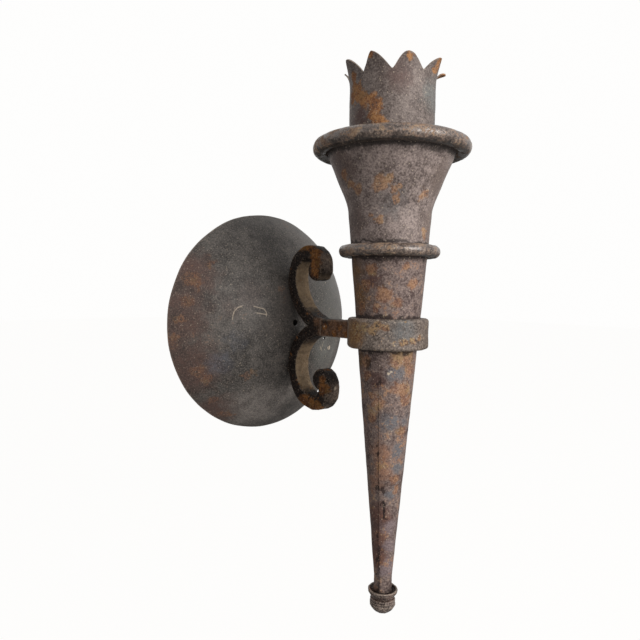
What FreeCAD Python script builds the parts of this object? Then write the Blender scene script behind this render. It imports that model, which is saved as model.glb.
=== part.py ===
import FreeCAD
import Part

import math
import os

import Sketcher

# A forged-iron torch sconce for a wall.
#
# Frame: millimetres, X to the right as seen from the room, Y into the wall, Z up. The origin is
# the centre of the domed wall plate's open back, which lies on the wall at Y = 0, so everything
# stands out towards -Y. The torch turns about its own upright axis, torch_offset off the wall.

SIZES = (
    # domed wall plate
    ("plate_radius", 111.0, "outer radius of the wall plate's rim"),
    ("plate_depth", 56.0, "how far the dome stands off the wall"),
    ("plate_sheet", 2.0, "sheet thickness of the dome"),
    ("wire_hole_radius", 3.25, "hole near the middle of the dome, where the wires come out"),
    ("wire_hole_across", -2.0, "wire hole's distance to the right of the dome's axis"),
    ("wire_hole_up", 2.0, "wire hole's distance above the dome's axis"),
    ("screw_hole_radius", 1.6, "small fixing hole beside the arm"),
    ("screw_hole_reach", 44.5, "small hole's distance from the dome's axis"),
    ("screw_hole_angle", -21.0, "small hole's direction in degrees, from +X towards +Z"),
    # hanger bar behind the dome
    ("hanger_width", 25.4, "height of the flat bar across the dome's back"),
    ("hanger_thick", 3.2, "thickness of the flat bar"),
    ("keyhole_spread", 100.0, "distance between the two keyholes that hang on the wall's screws"),
    ("keyhole_entry_radius", 4.6, "radius of the keyholes' round entries"),
    ("keyhole_slot_radius", 2.4, "half width of the keyholes' slots"),
    ("keyhole_rise", 7.0, "height of the slots' upper ends above the entries"),
    ("hanger_wire_radius", 8.0, "radius of the wire hole in the bar"),
    ("ground_screw_reach", 24.0, "ground screw's distance from the middle of the bar"),
    ("ground_screw_radius", 2.4, "shank radius of the ground screw"),
    ("ground_head_radius", 4.4, "head radius of the ground screw"),
    ("ground_head_height", 2.4, "head height of the ground screw"),
    # arm and its fork
    ("arm_size", 15.9, "side of the arm's square bar"),
    ("arm_round", 1.5, "corner radius of the arm's bar"),
    ("wireway_radius", 3.4, "bore for the wires through fork, arm, collar and torch"),
    ("fork_root", 100.0, "distance off the wall where the two scrolls meet the arm"),
    ("scroll_width", 16.5, "width of the scrolls' bar, along X"),
    ("scroll_thick", 13.0, "thickness of the scrolls' bar, in the plane of the curl"),
    ("scroll_round", 2.2, "corner radius of the scrolls' bar"),
    ("foot_radius", 5.0, "radius of the welded foot between scroll and dome"),
    ("foot_height", 42.0, "height of the feet above and below the arm"),
    ("upper_root_radius", 27.0, "upper scroll, bend radius where it leaves the arm"),
    ("upper_root_turn", 16.0, "upper scroll, angle of that bend"),
    ("upper_stem_radius", 50.0, "upper scroll, bend radius of the stem"),
    ("upper_stem_turn", 64.0, "upper scroll, angle of that bend"),
    ("upper_back_radius", 24.0, "upper scroll, bend radius of the back"),
    ("upper_back_turn", 90.0, "upper scroll, angle of that bend"),
    ("upper_curl_radius", 14.0, "upper scroll, bend radius of the curl"),
    ("upper_curl_turn", 116.0, "upper scroll, angle of that bend"),
    ("upper_snub_radius", 9.8, "upper scroll, radius of the rounded end"),
    ("lower_root_radius", 45.0, "lower scroll, bend radius where it leaves the arm"),
    ("lower_root_turn", 38.0, "lower scroll, angle of that bend"),
    ("lower_stem_radius", 36.0, "lower scroll, bend radius of the stem"),
    ("lower_stem_turn", 82.0, "lower scroll, angle of that bend"),
    ("lower_back_radius", 29.0, "lower scroll, bend radius of the back"),
    ("lower_back_turn", 62.0, "lower scroll, angle of that bend"),
    ("lower_curl_radius", 15.0, "lower scroll, bend radius of the curl"),
    ("lower_curl_turn", 132.0, "lower scroll, angle of that bend"),
    ("lower_snub_radius", 9.5, "lower scroll, radius of the rounded end"),
    # torch
    ("torch_offset", 175.5, "torch axis off the wall"),
    ("torch_sheet", 1.5, "sheet thickness of the torch"),
    ("joint_height", 66.6, "height of the joint between lower cone and head"),
    ("joint_radius", 31.4, "outer radius of the torch at that joint"),
    ("cone_foot_height", -205.0, "height where the taper ends"),
    ("cone_foot_radius", 7.65, "outer radius of the cone's straight tail"),
    ("cone_tail", 15.0, "length of the straight tail"),
    ("flare_height", 103.0, "height where the head begins to flare"),
    ("flare_bend", 36.0, "bend radius at the start of the flare"),
    ("mouth_height", 146.0, "height of the flared mouth"),
    ("mouth_radius", 52.5, "outer radius of the flared mouth"),
    ("neck_bar", 5.1, "radius of the neck ring's round bar"),
    ("rim_bar", 6.35, "radius of the rim ring's round bar"),
    ("rim_seat_angle", 33.4, "how far below level the rim ring touches the mouth, in degrees"),
    # collar that holds the torch on the arm
    ("collar_radius", 33.4, "outer radius of the collar"),
    ("collar_height", 25.0, "height of the collar"),
    ("collar_round", 2.6, "corner radius of the collar"),
    # pan and crown
    ("pan_sheet", 2.0, "thickness of the pan that closes the mouth"),
    ("crown_radius", 34.7, "outer radius of the crown"),
    ("crown_sheet", 1.2, "sheet thickness of the crown"),
    ("crown_foot", 7.0, "width of the crown's inward flange"),
    ("crown_valley", 54.8, "height of the notches' bottoms above the pan"),
    ("crown_tip", 68.2, "height of the leaves' tips above the pan"),
    ("crown_lean_height", 15.0, "length of the leaves that leans outwards"),
    ("crown_lean", 5.3, "how far the tips lean outwards"),
    ("leaf_count", 8, "number of leaves round the crown"),
    ("crown_turn", -2.0, "how far the crown is turned on the pan, in degrees"),
    ("leaf_curve", 19.0, "radius of the leaves' curved sides"),
    ("rivet_count", 4, "number of rivets through the crown's flange"),
    ("rivet_radius", 1.6, "shank radius of the rivets"),
    ("rivet_head_radius", 3.0, "head radius of the rivets"),
    ("rivet_head_height", 1.4, "head height of the rivets"),
    # lampholder
    ("nipple_radius", 4.85, "outer radius of the threaded nipple"),
    ("nipple_bore", 3.2, "bore radius of the nipple"),
    ("nipple_below", 14.0, "length of the nipple below the pan"),
    ("nut_width", 14.3, "width across the lock nut's flats"),
    ("nut_height", 3.2, "height of the lock nut"),
    ("holder_radius", 19.5, "outer radius of the lampholder"),
    ("cap_height", 10.0, "height of the lampholder's cap"),
    ("cap_wall", 1.5, "sheet thickness of the cap"),
    ("boss_radius", 8.0, "radius of the cap's threaded boss"),
    ("post_radius", 2.7, "radius of the cap's two screw posts"),
    ("holder_height", 34.0, "height of the porcelain body"),
    ("socket_radius", 13.9, "radius of the porcelain's socket hole"),
    ("socket_depth", 25.0, "depth of the socket hole"),
    ("recess_radius", 12.6, "radius of the recess under the porcelain"),
    ("recess_depth", 4.0, "depth of that recess"),
    ("shell_wall", 0.8, "thickness of the brass screw shell"),
    ("shell_lip", 6.5, "width of the screw shell's bottom flange"),
    ("shell_corner", 2.4, "inside radius of the shell's bottom corner"),
    ("shell_drop", 1.0, "how far the screw shell ends below the porcelain's top"),
    ("contact_radius", 4.0, "radius of the centre contact"),
    ("contact_height", 2.2, "height of the centre contact"),
    ("pin_radius", 1.4, "radius of the contact's stem and the shell's rivet"),
    ("plate_thick", 0.9, "thickness of the two terminal plates"),
    ("terminal_width", 6.0, "width of the terminal plates"),
    ("terminal_inner", 3.4, "distance from the middle to the shell's terminal plate"),
    ("terminal_reach", 10.8, "how far the terminal plates reach from the middle"),
    ("terminal_screw_radius", 1.2, "shank radius of the terminal screws"),
    ("terminal_head_radius", 1.9, "head radius of the terminal screws"),
    ("terminal_head_height", 1.5, "head height of the terminal screws"),
    ("holder_screw_radius", 1.5, "shank radius of the two long screws"),
    ("holder_head_radius", 2.3, "head radius of the long screws"),
    ("holder_head_height", 1.5, "head height of the long screws"),
    ("holder_screw_stop", 2.5, "distance of the long screws' ends above the pan"),
    # finial
    ("cup_radius", 12.6, "outer radius of the finial's cup"),
    ("cup_rise", 3.4, "height of the cup's lip above its floor"),
    ("cup_floor", 4.0, "thickness of the cup's floor"),
    ("cup_lip", 1.6, "thickness of the cup's lip"),
    ("cup_lip_round", 0.85, "radius over the cup's lip"),
    ("cup_foot_radius", 10.0, "radius of the cup's foot"),
    ("button_radius", 10.8, "radius of the button below the cup"),
    ("button_side", 6.5, "height of the button's grooved side"),
    ("button_nose", 7.2, "height of the button's rounded nose"),
    ("groove_count", 2, "number of grooves round the button"),
    ("groove_depth", 0.9, "depth of the grooves"),
    ("stud_radius", 3.0, "radius of the finial's stud"),
    ("stud_below", 8.0, "length of the stud in the button"),
    ("plug_height", 9.0, "height of the plug in the cone's tail"),
)


class Size:
    """A size that carries both its value and its formula on the sheet."""

    def __init__(self, value, text):
        self.value = float(value)
        self.text = text

    @staticmethod
    def of(number):
        """Wrap a plain number."""
        if isinstance(number, Size):
            return number
        return Size(number, "(%r)" % float(number))

    def __add__(self, other):
        other = Size.of(other)
        return Size(self.value + other.value, "(%s + %s)" % (self.text, other.text))

    __radd__ = __add__

    def __sub__(self, other):
        other = Size.of(other)
        return Size(self.value - other.value, "(%s - %s)" % (self.text, other.text))

    def __rsub__(self, other):
        return Size.of(other) - self

    def __mul__(self, other):
        other = Size.of(other)
        return Size(self.value * other.value, "(%s * %s)" % (self.text, other.text))

    __rmul__ = __mul__

    def __truediv__(self, other):
        other = Size.of(other)
        return Size(self.value / other.value, "(%s / %s)" % (self.text, other.text))

    def __rtruediv__(self, other):
        return Size.of(other) / self

    def __neg__(self):
        return Size.of(0) - self


def root(size):
    """Square root of a size."""
    return Size(math.sqrt(size.value), "sqrt(%s)" % size.text)


def sine(degrees):
    """Sine of an angle in degrees."""
    return Size(math.sin(math.radians(degrees.value)), "sin(%s)" % degrees.text)


def cosine(degrees):
    """Cosine of an angle in degrees."""
    return Size(math.cos(math.radians(degrees.value)), "cos(%s)" % degrees.text)


ZERO = Size(0, "0")

doc = FreeCAD.newDocument("TorchSconce")
sheet = doc.addObject("Spreadsheet::Sheet", "Sizes")
size = {}
for row, (alias, value, meaning) in enumerate(SIZES, start=1):
    sheet.set("A%d" % row, meaning)
    sheet.set("B%d" % row, str(value))
    sheet.setAlias("B%d" % row, alias)
    size[alias] = Size(value, "Sizes.%s" % alias)
doc.recompute()

nodes = []


def keep(item, label):
    """Name an object as one of the sconce's pieces."""
    item.Label = label
    nodes.append(item)
    return item


def bind(item, values):
    """Tie properties of an object to sizes of the sheet."""
    for name, value in values.items():
        item.setExpression(name, Size.of(value).text)


def primitive(kind, name, values, at=(0, 0, 0)):
    """Add a Part primitive whose sizes and place follow the sheet."""
    item = doc.addObject(kind, name)
    bind(item, values)
    bind(item, dict(zip(("Placement.Base.x", "Placement.Base.y", "Placement.Base.z"), at)))
    return item


def new_body(label, at=(0, 0, 0)):
    """Start a body at a place that follows the sheet."""
    body = doc.addObject("PartDesign::Body", label)
    bind(body, dict(zip(("Placement.Base.x", "Placement.Base.y", "Placement.Base.z"), at)))
    return keep(body, label)


def attach(item, body, plane, at=(0, 0, 0)):
    """Attach a sketch or a feature to one of its own body's origin planes."""
    support = [face for face in body.Origin.OriginFeatures if face.Role == plane][0]
    item.AttachmentSupport = [(support, "")]
    item.MapMode = "FlatFace"
    names = ("AttachmentOffset.Base.x", "AttachmentOffset.Base.y", "AttachmentOffset.Base.z")
    bind(item, dict(zip(names, at)))
    return item


def new_sketch(body, plane, at=(0, 0, 0)):
    """Start a sketch on an origin plane."""
    return attach(body.newObject("Sketcher::SketchObject", "Sketch"), body, plane, at)


def pin(sketch, edge, end, spot):
    """Hold one end of a sketch edge at a spot that follows the sheet."""
    for kind, axis, value in (("DistanceX", -2, spot[0]), ("DistanceY", -1, spot[1])):
        value = Size.of(value)
        if value.value == 0.0:
            sketch.addConstraint(Sketcher.Constraint("PointOnObject", edge, end, axis))
            continue
        rule = sketch.addConstraint(Sketcher.Constraint(kind, -1, 1, edge, end, value.value))
        sketch.setExpression("Constraints[%d]" % rule, value.text)


def arc_edge(start, end, radius, left):
    """Make the arc from start to end that turns left or right by less than half a turn."""
    middle = (start + end) * 0.5
    chord = end - start
    rise = math.sqrt(max(radius ** 2 - chord.Length ** 2 / 4.0, 0.0)) / chord.Length
    side = FreeCAD.Vector(-chord.y, chord.x, 0) * (rise if left else -rise)
    centre = middle + side
    first, last = (start, end) if left else (end, start)
    angles = [math.atan2(spot.y - centre.y, spot.x - centre.x) for spot in (first, last)]
    circle = Part.Circle(centre, FreeCAD.Vector(0, 0, 1), radius)
    return Part.ArcOfCircle(circle, angles[0], angles[1])


def draw(sketch, corners, closed=True):
    """Draw lines and arcs from corner to corner.

    A corner is (x, y), or (x, y, radius, side) where an arc leaves it, turning left for side 1
    and right for side -1.
    """
    count = len(corners) if closed else len(corners) - 1
    ends = []
    for number in range(count):
        here = corners[number]
        after = corners[(number + 1) % len(corners)]
        start, end = [FreeCAD.Vector(Size.of(spot[0]).value, Size.of(spot[1]).value, 0)
                      for spot in (here, after)]
        if len(here) == 2:
            edge = sketch.addGeometry(Part.LineSegment(start, end), False)
            ends.append((edge, 1, 2))
        else:
            left = here[3] > 0
            radius = Size.of(here[2])
            edge = sketch.addGeometry(arc_edge(start, end, radius.value, left), False)
            rule = sketch.addConstraint(Sketcher.Constraint("Radius", edge, radius.value))
            sketch.setExpression("Constraints[%d]" % rule, radius.text)
            ends.append((edge, 1, 2) if left else (edge, 2, 1))
        pin(sketch, ends[-1][0], ends[-1][1], here)
    for number in range(count if closed else count - 1):
        edge, _, end = ends[number]
        other, start, _ = ends[(number + 1) % count]
        sketch.addConstraint(Sketcher.Constraint("Coincident", edge, end, other, start))
    if not closed:
        pin(sketch, ends[-1][0], ends[-1][2], corners[-1])


def revolve(body, plane, corners):
    """Turn a closed outline about the upright axis of its plane."""
    sketch = new_sketch(body, plane)
    draw(sketch, corners)
    turned = body.newObject("PartDesign::Revolution", "Turned")
    turned.Profile = sketch
    turned.ReferenceAxis = (sketch, ["V_Axis"])
    turned.Angle = 360
    return turned


def drill(body, plane, radius, length, at):
    """Cut a round hole that leaves an origin plane along its normal."""
    hole = body.newObject("PartDesign::SubtractiveCylinder", "Hole")
    bind(hole, {"Radius": radius, "Height": length})
    return attach(hole, body, plane, at)


def boss(body, plane, radius, length, at):
    """Add a round boss that leaves an origin plane along its normal."""
    post = body.newObject("PartDesign::AdditiveCylinder", "Boss")
    bind(post, {"Radius": radius, "Height": length})
    return attach(post, body, plane, at)


def group(label, members):
    """Keep several equal solids as one node."""
    bunch = doc.addObject("Part::Compound", label)
    bunch.Links = members
    return keep(bunch, label)


def cut(base, tool):
    """Cut one object from another."""
    result = doc.addObject("Part::Cut", "Cut")
    result.Base = base
    result.Tool = tool
    return result


# ------------------------------------------------------------------ shared places
torch_axis = (0, -size["torch_offset"], 0)

# the dome is part of a ball whose centre lies behind the wall
ball_radius = ((size["plate_radius"] * size["plate_radius"]
                + size["plate_depth"] * size["plate_depth"]) / (2 * size["plate_depth"]))
ball_centre = ball_radius - size["plate_depth"]

# the torch is one straight taper up to the flare
taper = ((size["joint_radius"] - size["cone_foot_radius"])
         / (size["joint_height"] - size["cone_foot_height"]))


def torch_radius(height):
    """Outer radius of the straight taper at a height."""
    return size["joint_radius"] + taper * (height - size["joint_height"])


rim_radius = size["mouth_radius"] + size["rim_bar"] * cosine(size["rim_seat_angle"])
rim_height = size["mouth_height"] + size["rim_bar"] * sine(size["rim_seat_angle"])
neck_radius = size["joint_radius"] + size["neck_bar"] * root(1 + taper * taper)
pan_top = size["mouth_height"] + size["pan_sheet"]


# ------------------------------------------------------------------ wall plate
def make_back_plate():
    """The spun dome with its two holes."""
    body = new_body("back_plate")
    inner = ball_radius - size["plate_sheet"]
    rim_inside = root(inner * inner - ball_centre * ball_centre)
    crest = -size["plate_depth"]
    revolve(body, "XY_Plane", [
        (ZERO, crest, ball_radius, 1),
        (size["plate_radius"], ZERO),
        (rim_inside, ZERO, inner, -1),
        (ZERO, crest + size["plate_sheet"]),
    ])
    reach = size["plate_depth"] + size["plate_sheet"]
    drill(body, "XZ_Plane", size["wire_hole_radius"], reach,
          (size["wire_hole_across"], size["wire_hole_up"], 0))
    across = size["screw_hole_reach"] * cosine(size["screw_hole_angle"])
    up = size["screw_hole_reach"] * sine(size["screw_hole_angle"])
    drill(body, "XZ_Plane", size["screw_hole_radius"], reach, (across, up, 0))


def make_hanger_bar():
    """The flat bar across the dome's back, with keyholes and ends that meet the dome's inside."""
    bar = primitive(
        "Part::Box", "FlatBar",
        {"Length": 2 * size["plate_radius"], "Width": size["hanger_thick"],
         "Height": size["hanger_width"]},
        (-size["plate_radius"], -size["hanger_thick"], -size["hanger_width"] / 2))
    inside = primitive("Part::Sphere", "DomeInside", {"Radius": ball_radius - size["plate_sheet"]},
                       (0, ball_centre, 0))
    trimmed = doc.addObject("Part::Common", "TrimmedBar")
    trimmed.Base = bar
    trimmed.Tool = inside
    half = size["keyhole_spread"] / 2
    bores = [
        (0, 0, size["hanger_wire_radius"]),
        (-size["ground_screw_reach"], 0, size["ground_screw_radius"]),
    ]
    for across in (-half, half):
        bores.append((across, 0, size["keyhole_entry_radius"]))
        bores.append((across, size["keyhole_rise"], size["keyhole_slot_radius"]))
        slot = primitive("Part::Box", "Slot",
                         {"Length": 2 * size["keyhole_slot_radius"],
                          "Width": size["hanger_thick"], "Height": size["keyhole_rise"]},
                         (across - size["keyhole_slot_radius"], -size["hanger_thick"], 0))
        trimmed = cut(trimmed, slot)
    for across, up, radius in bores:
        tool = primitive("Part::Cylinder", "Bore", {"Radius": radius, "Height": size["hanger_thick"]},
                         (across, 0, up))
        tool.Placement.Rotation = FreeCAD.Rotation(FreeCAD.Vector(1, 0, 0), 90)
        trimmed = cut(trimmed, tool)
    keep(trimmed, "hanger_bar")


def make_ground_screw():
    """The ground screw, flush with the bar's back, with its head in the dome."""
    body = new_body("ground_screw", (-size["ground_screw_reach"], 0, 0))
    revolve(body, "XY_Plane", [
        (ZERO, ZERO),
        (ZERO, -(size["hanger_thick"] + size["ground_head_height"])),
        (size["ground_head_radius"], -(size["hanger_thick"] + size["ground_head_height"])),
        (size["ground_head_radius"], -size["hanger_thick"]),
        (size["ground_screw_radius"], -size["hanger_thick"]),
        (size["ground_screw_radius"], ZERO),
    ])


# ------------------------------------------------------------------ fork and arm
def bend_path(side):
    """Follow the four bends of a scroll from the arm and give its corners and end."""
    heading = ZERO
    across = -size["fork_root"]
    up = (size["arm_size"] - size["scroll_thick"]) / 2
    corners = []
    for part in ("root", "stem", "back", "curl"):
        radius = size["%s_%s_radius" % (side, part)]
        onward = heading + size["%s_%s_turn" % (side, part)]
        corners.append((across, up, radius, 1))
        centre = (across - radius * sine(heading), up + radius * cosine(heading))
        across = centre[0] + radius * sine(onward)
        up = centre[1] - radius * cosine(onward)
        heading = onward
    corners.append((across, up))
    snub = size["%s_snub_radius" % side]
    reach = size["%s_curl_radius" % side] + size["scroll_thick"] / 2 - snub
    middle = (centre[0] + reach * sine(heading), centre[1] - reach * cosine(heading))
    return corners, middle, snub


def rounded_bar(sketch, middle, width, height, radius):
    """Draw a rectangle with round corners about a middle."""
    left, right = middle[0] - width / 2, middle[0] + width / 2
    low, high = middle[1] - height / 2, middle[1] + height / 2
    draw(sketch, [
        (left + radius, low), (right - radius, low, radius, 1),
        (right, low + radius), (right, high - radius, radius, 1),
        (right - radius, high), (left + radius, high, radius, 1),
        (left, high - radius), (left, low + radius, radius, 1),
    ])


def make_scroll(label, side, turn):
    """One scroll of the fork: a bent bar with a snub end and a foot welded to the dome."""
    body = new_body(label)
    body.Placement.Rotation = FreeCAD.Rotation(FreeCAD.Vector(0, 1, 0), turn)
    corners, middle, snub = bend_path(side)
    path = new_sketch(body, "YZ_Plane")
    draw(path, corners, closed=False)
    section = new_sketch(body, "XZ_Plane", (0, 0, size["fork_root"]))
    rounded_bar(section, (ZERO, corners[0][1]), size["scroll_width"], size["scroll_thick"],
                size["scroll_round"])
    bar = body.newObject("PartDesign::AdditivePipe", "BentBar")
    bar.Profile = section
    bar.Spine = path
    make_snub(body, middle, snub)
    boss(body, "XZ_Plane", size["foot_radius"], -corners[2][0], (0, size["foot_height"], 0))
    ball = body.newObject("PartDesign::SubtractiveSphere", "DomeOutside")
    bind(ball, {"Radius": ball_radius})
    attach(ball, body, "XZ_Plane", (0, 0, -ball_centre))
    half = body.newObject("PartDesign::SubtractiveBox", "WeldFace")
    bind(half, {"Length": 2 * size["scroll_width"], "Width": size["fork_root"],
                "Height": size["scroll_thick"]})
    attach(half, body, "XY_Plane",
           (-size["scroll_width"], -size["fork_root"], -size["scroll_thick"]))
    drill(body, "XZ_Plane", size["wireway_radius"], size["fork_root"], (0, 0, 0))


def make_snub(body, middle, snub):
    """The rounded end of a scroll, a disc with round edges turned about an axis along X."""
    sketch = new_sketch(body, "XY_Plane", (0, 0, middle[1]))
    half = size["scroll_width"] / 2
    edge = size["scroll_round"]
    draw(sketch, [
        (-half, middle[0]),
        (half, middle[0]),
        (half, middle[0] + snub - edge, edge, 1),
        (half - edge, middle[0] + snub),
        (edge - half, middle[0] + snub, edge, 1),
        (-half, middle[0] + snub - edge),
    ])
    spot = middle[0].value
    line = Part.LineSegment(FreeCAD.Vector(-half.value, spot, 0), FreeCAD.Vector(half.value, spot, 0))
    axis = sketch.addGeometry(line, True)
    sketch.addConstraint(Sketcher.Constraint("Coincident", axis, 1, 0, 1))
    sketch.addConstraint(Sketcher.Constraint("Coincident", axis, 2, 0, 2))
    disc = body.newObject("PartDesign::Revolution", "SnubEnd")
    disc.Profile = sketch
    disc.ReferenceAxis = (sketch, ["Axis0"])
    disc.Angle = 360


def make_arm():
    """The square bar from the fork to the collar, coped to the collar and bored for the wires."""
    body = new_body("arm")
    sketch = new_sketch(body, "XZ_Plane", (0, 0, size["fork_root"]))
    rounded_bar(sketch, (ZERO, ZERO), size["arm_size"], size["arm_size"], size["arm_round"])
    bar = body.newObject("PartDesign::Pad", "Bar")
    bar.Profile = sketch
    bind(bar, {"Length": size["torch_offset"] - size["fork_root"]})
    drill(body, "XY_Plane", size["collar_radius"], 2 * size["arm_size"],
          (0, -size["torch_offset"], -size["arm_size"]))
    drill(body, "XZ_Plane", size["wireway_radius"], size["torch_offset"] - size["fork_root"],
          (0, 0, size["fork_root"]))


def bore_from_arm(body):
    """Carry the wires' bore from the arm into a piece that is turned about the torch axis."""
    drill(body, "XZ_Plane", size["wireway_radius"], size["torch_offset"] - size["fork_root"],
          (0, 0, size["fork_root"] - size["torch_offset"]))


def make_collar():
    """The heavy strap round the torch, with a tapered bore that the torch is wedged in."""
    body = new_body("collar", torch_axis)
    high = size["collar_height"] / 2
    outside = size["collar_radius"]
    edge = size["collar_round"]
    revolve(body, "XZ_Plane", [
        (torch_radius(-high), -high),
        (outside - edge, -high, edge, 1),
        (outside, edge - high),
        (outside, high - edge, edge, 1),
        (outside - edge, high),
        (torch_radius(high), high),
    ])
    bore_from_arm(body)


# ------------------------------------------------------------------ torch
def make_torch_cone():
    """The rolled lower cone with its straight tail."""
    body = new_body("torch_cone", torch_axis)
    tail = size["cone_foot_height"] - size["cone_tail"]
    wall = size["torch_sheet"]
    foot, top = size["cone_foot_radius"], size["joint_radius"]
    revolve(body, "XZ_Plane", [
        (foot - wall, tail),
        (foot, tail),
        (foot, size["cone_foot_height"]),
        (top, size["joint_height"]),
        (top - wall, size["joint_height"]),
        (foot - wall, size["cone_foot_height"]),
    ])
    bore_from_arm(body)


def make_torch_head():
    """The head, which carries the taper on and flares to the mouth with one bend."""
    body = new_body("torch_head", torch_axis)
    wall = size["torch_sheet"]
    knee = (torch_radius(size["flare_height"]), size["flare_height"])
    slant = root(1 + taper * taper)
    below = (taper / slant, 1 / slant)
    run = (size["mouth_radius"] - knee[0], size["mouth_height"] - knee[1])
    length = root(run[0] * run[0] + run[1] * run[1])
    above = (run[0] / length, run[1] / length)
    cosine_turn = below[0] * above[0] + below[1] * above[1]
    tangent = size["flare_bend"] * root((1 - cosine_turn) / (1 + cosine_turn))
    bend_low = (knee[0] - tangent * below[0], knee[1] - tangent * below[1])
    bend_high = (knee[0] + tangent * above[0], knee[1] + tangent * above[1])
    revolve(body, "XZ_Plane", [
        (size["joint_radius"], size["joint_height"]),
        (bend_low[0], bend_low[1], size["flare_bend"], -1),
        bend_high,
        (size["mouth_radius"], size["mouth_height"]),
        (size["mouth_radius"] - wall, size["mouth_height"]),
        (bend_high[0] - wall, bend_high[1], size["flare_bend"], 1),
        (bend_low[0] - wall, bend_low[1]),
        (size["joint_radius"] - wall, size["joint_height"]),
    ])


def make_rings():
    """The two rings of round bar: one over the joint, one on the mouth."""
    keep(primitive("Part::Torus", "NeckRing",
                   {"Radius1": neck_radius, "Radius2": size["neck_bar"]},
                   (0, -size["torch_offset"], size["joint_height"])), "neck_ring")
    keep(primitive("Part::Torus", "RimRing",
                   {"Radius1": rim_radius, "Radius2": size["rim_bar"]},
                   (0, -size["torch_offset"], rim_height)), "rim_ring")


def make_pan():
    """The disc that closes the mouth, with its edge shaped to the rim ring."""
    body = new_body("pan", torch_axis)
    lift = rim_height - pan_top
    upper = rim_radius - root(size["rim_bar"] * size["rim_bar"] - lift * lift)
    revolve(body, "XZ_Plane", [
        (size["nipple_radius"], size["mouth_height"]),
        (size["mouth_radius"], size["mouth_height"], size["rim_bar"], -1),
        (upper, pan_top),
        (size["nipple_radius"], pan_top),
    ])
    for number in range(int(size["rivet_count"].value)):
        across, out = rivet_spot(number, size["crown_turn"])
        drill(body, "XY_Plane", size["rivet_radius"], pan_top, (across, out, 0))


# ------------------------------------------------------------------ crown
def rivet_spot(number, turn=ZERO):
    """Where a rivet stands, in the middle of the crown's flange, from an axis turned by turn."""
    reach = size["crown_radius"] - size["crown_sheet"] - size["crown_foot"] / 2
    angle = turn + Size.of(2 * number + 1) * 180 / size["rivet_count"]
    return reach * cosine(angle), reach * sine(angle)


def make_crown():
    """The sheet crown: a flanged cylinder that leans out at the top, notched into leaves."""
    body = new_body("crown", torch_axis)
    body.Placement.Rotation = FreeCAD.Rotation(FreeCAD.Vector(0, 0, 1), 0)
    bind(body, {"Placement.Rotation.Angle": size["crown_turn"]})
    outside, wall = size["crown_radius"], size["crown_sheet"]
    tip = pan_top + size["crown_tip"]
    lean_from = tip - size["crown_lean_height"]
    lean, rise = size["crown_lean"], size["crown_lean_height"]
    lean_radius = (lean * lean + rise * rise) / (2 * lean)
    revolve(body, "XZ_Plane", [
        (outside - wall - size["crown_foot"], pan_top),
        (outside, pan_top),
        (outside, lean_from, lean_radius, -1),
        (outside + lean, tip),
        (outside + lean - wall, tip, lean_radius, 1),
        (outside - wall, lean_from),
        (outside - wall, pan_top + wall),
        (outside - wall - size["crown_foot"], pan_top + wall),
    ])
    for number in range(int(size["rivet_count"].value)):
        across, out = rivet_spot(number)
        drill(body, "XY_Plane", size["rivet_radius"], pan_top + 2 * wall, (across, out, 0))
    notch_crown(body, tip)


def notch_crown(body, tip):
    """Cut the notches between the leaves, one pocket repeated round the axis."""
    spread = (size["crown_radius"] + size["crown_lean"]) * sine(180 / size["leaf_count"])
    valley = pan_top + size["crown_valley"]
    above = tip + size["crown_sheet"]
    sketch = new_sketch(body, "XZ_Plane")
    draw(sketch, [
        (ZERO, valley, size["leaf_curve"], -1),
        (spread, tip),
        (spread, above),
        (-spread, above),
        (-spread, tip, size["leaf_curve"], -1),
    ])
    notch = body.newObject("PartDesign::Pocket", "Notch")
    notch.Profile = sketch
    notch.Reversed = False
    bind(notch, {"Length": 2 * size["crown_radius"]})
    pattern = body.newObject("PartDesign::PolarPattern", "Notches")
    pattern.Originals = [notch]
    pattern.Axis = (sketch, ["V_Axis"])
    pattern.Angle = 360
    bind(pattern, {"Occurrences": size["leaf_count"]})
    body.Tip = pattern


def make_crown_rivets():
    """The rivets that hold the crown's flange on the pan."""
    members = []
    top = pan_top + size["crown_sheet"]
    low = size["mouth_height"] - size["rivet_head_height"]
    for number in range(int(size["rivet_count"].value)):
        across, out = rivet_spot(number, size["crown_turn"])
        out = out - size["torch_offset"]
        shank = primitive("Part::Cylinder", "Shank",
                          {"Radius": size["rivet_radius"], "Height": top - size["mouth_height"]},
                          (across, out, size["mouth_height"]))
        heads = [primitive("Part::Cylinder", "Head",
                           {"Radius": size["rivet_head_radius"],
                            "Height": size["rivet_head_height"]}, (across, out, height))
                 for height in (low, top)]
        rivet = doc.addObject("Part::MultiFuse", "Rivet")
        rivet.Shapes = [shank] + heads
        members.append(rivet)
    group("crown_rivets", members)


# ------------------------------------------------------------------ lampholder
cap_top = pan_top + size["cap_height"]
holder_top = cap_top + size["holder_height"]
socket_floor = holder_top - size["socket_depth"]
recess_top = cap_top + size["recess_depth"]
# the long screws run in the middle of the porcelain's wall
holder_screw_reach = (size["socket_radius"] + size["holder_radius"]) / 2


def make_nipple():
    """The threaded tube that ties the lampholder to the pan and lets the wires through."""
    body = new_body("nipple", torch_axis)
    low = size["mouth_height"] - size["nipple_below"]
    high = cap_top - size["cap_wall"]
    revolve(body, "XZ_Plane", [
        (size["nipple_bore"], low),
        (size["nipple_radius"], low),
        (size["nipple_radius"], high),
        (size["nipple_bore"], high),
    ])


def make_lock_nut():
    """The hexagon nut under the pan."""
    low = size["mouth_height"] - size["nut_height"]
    prism = primitive("Part::Prism", "Hexagon",
                      {"Circumradius": size["nut_width"] / root(Size.of(3)),
                       "Height": size["nut_height"]},
                      (0, -size["torch_offset"], low))
    prism.Polygon = 6
    bore = primitive("Part::Cylinder", "NutBore",
                     {"Radius": size["nipple_radius"], "Height": size["nut_height"]},
                     (0, -size["torch_offset"], low))
    keep(cut(prism, bore), "lock_nut")


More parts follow.
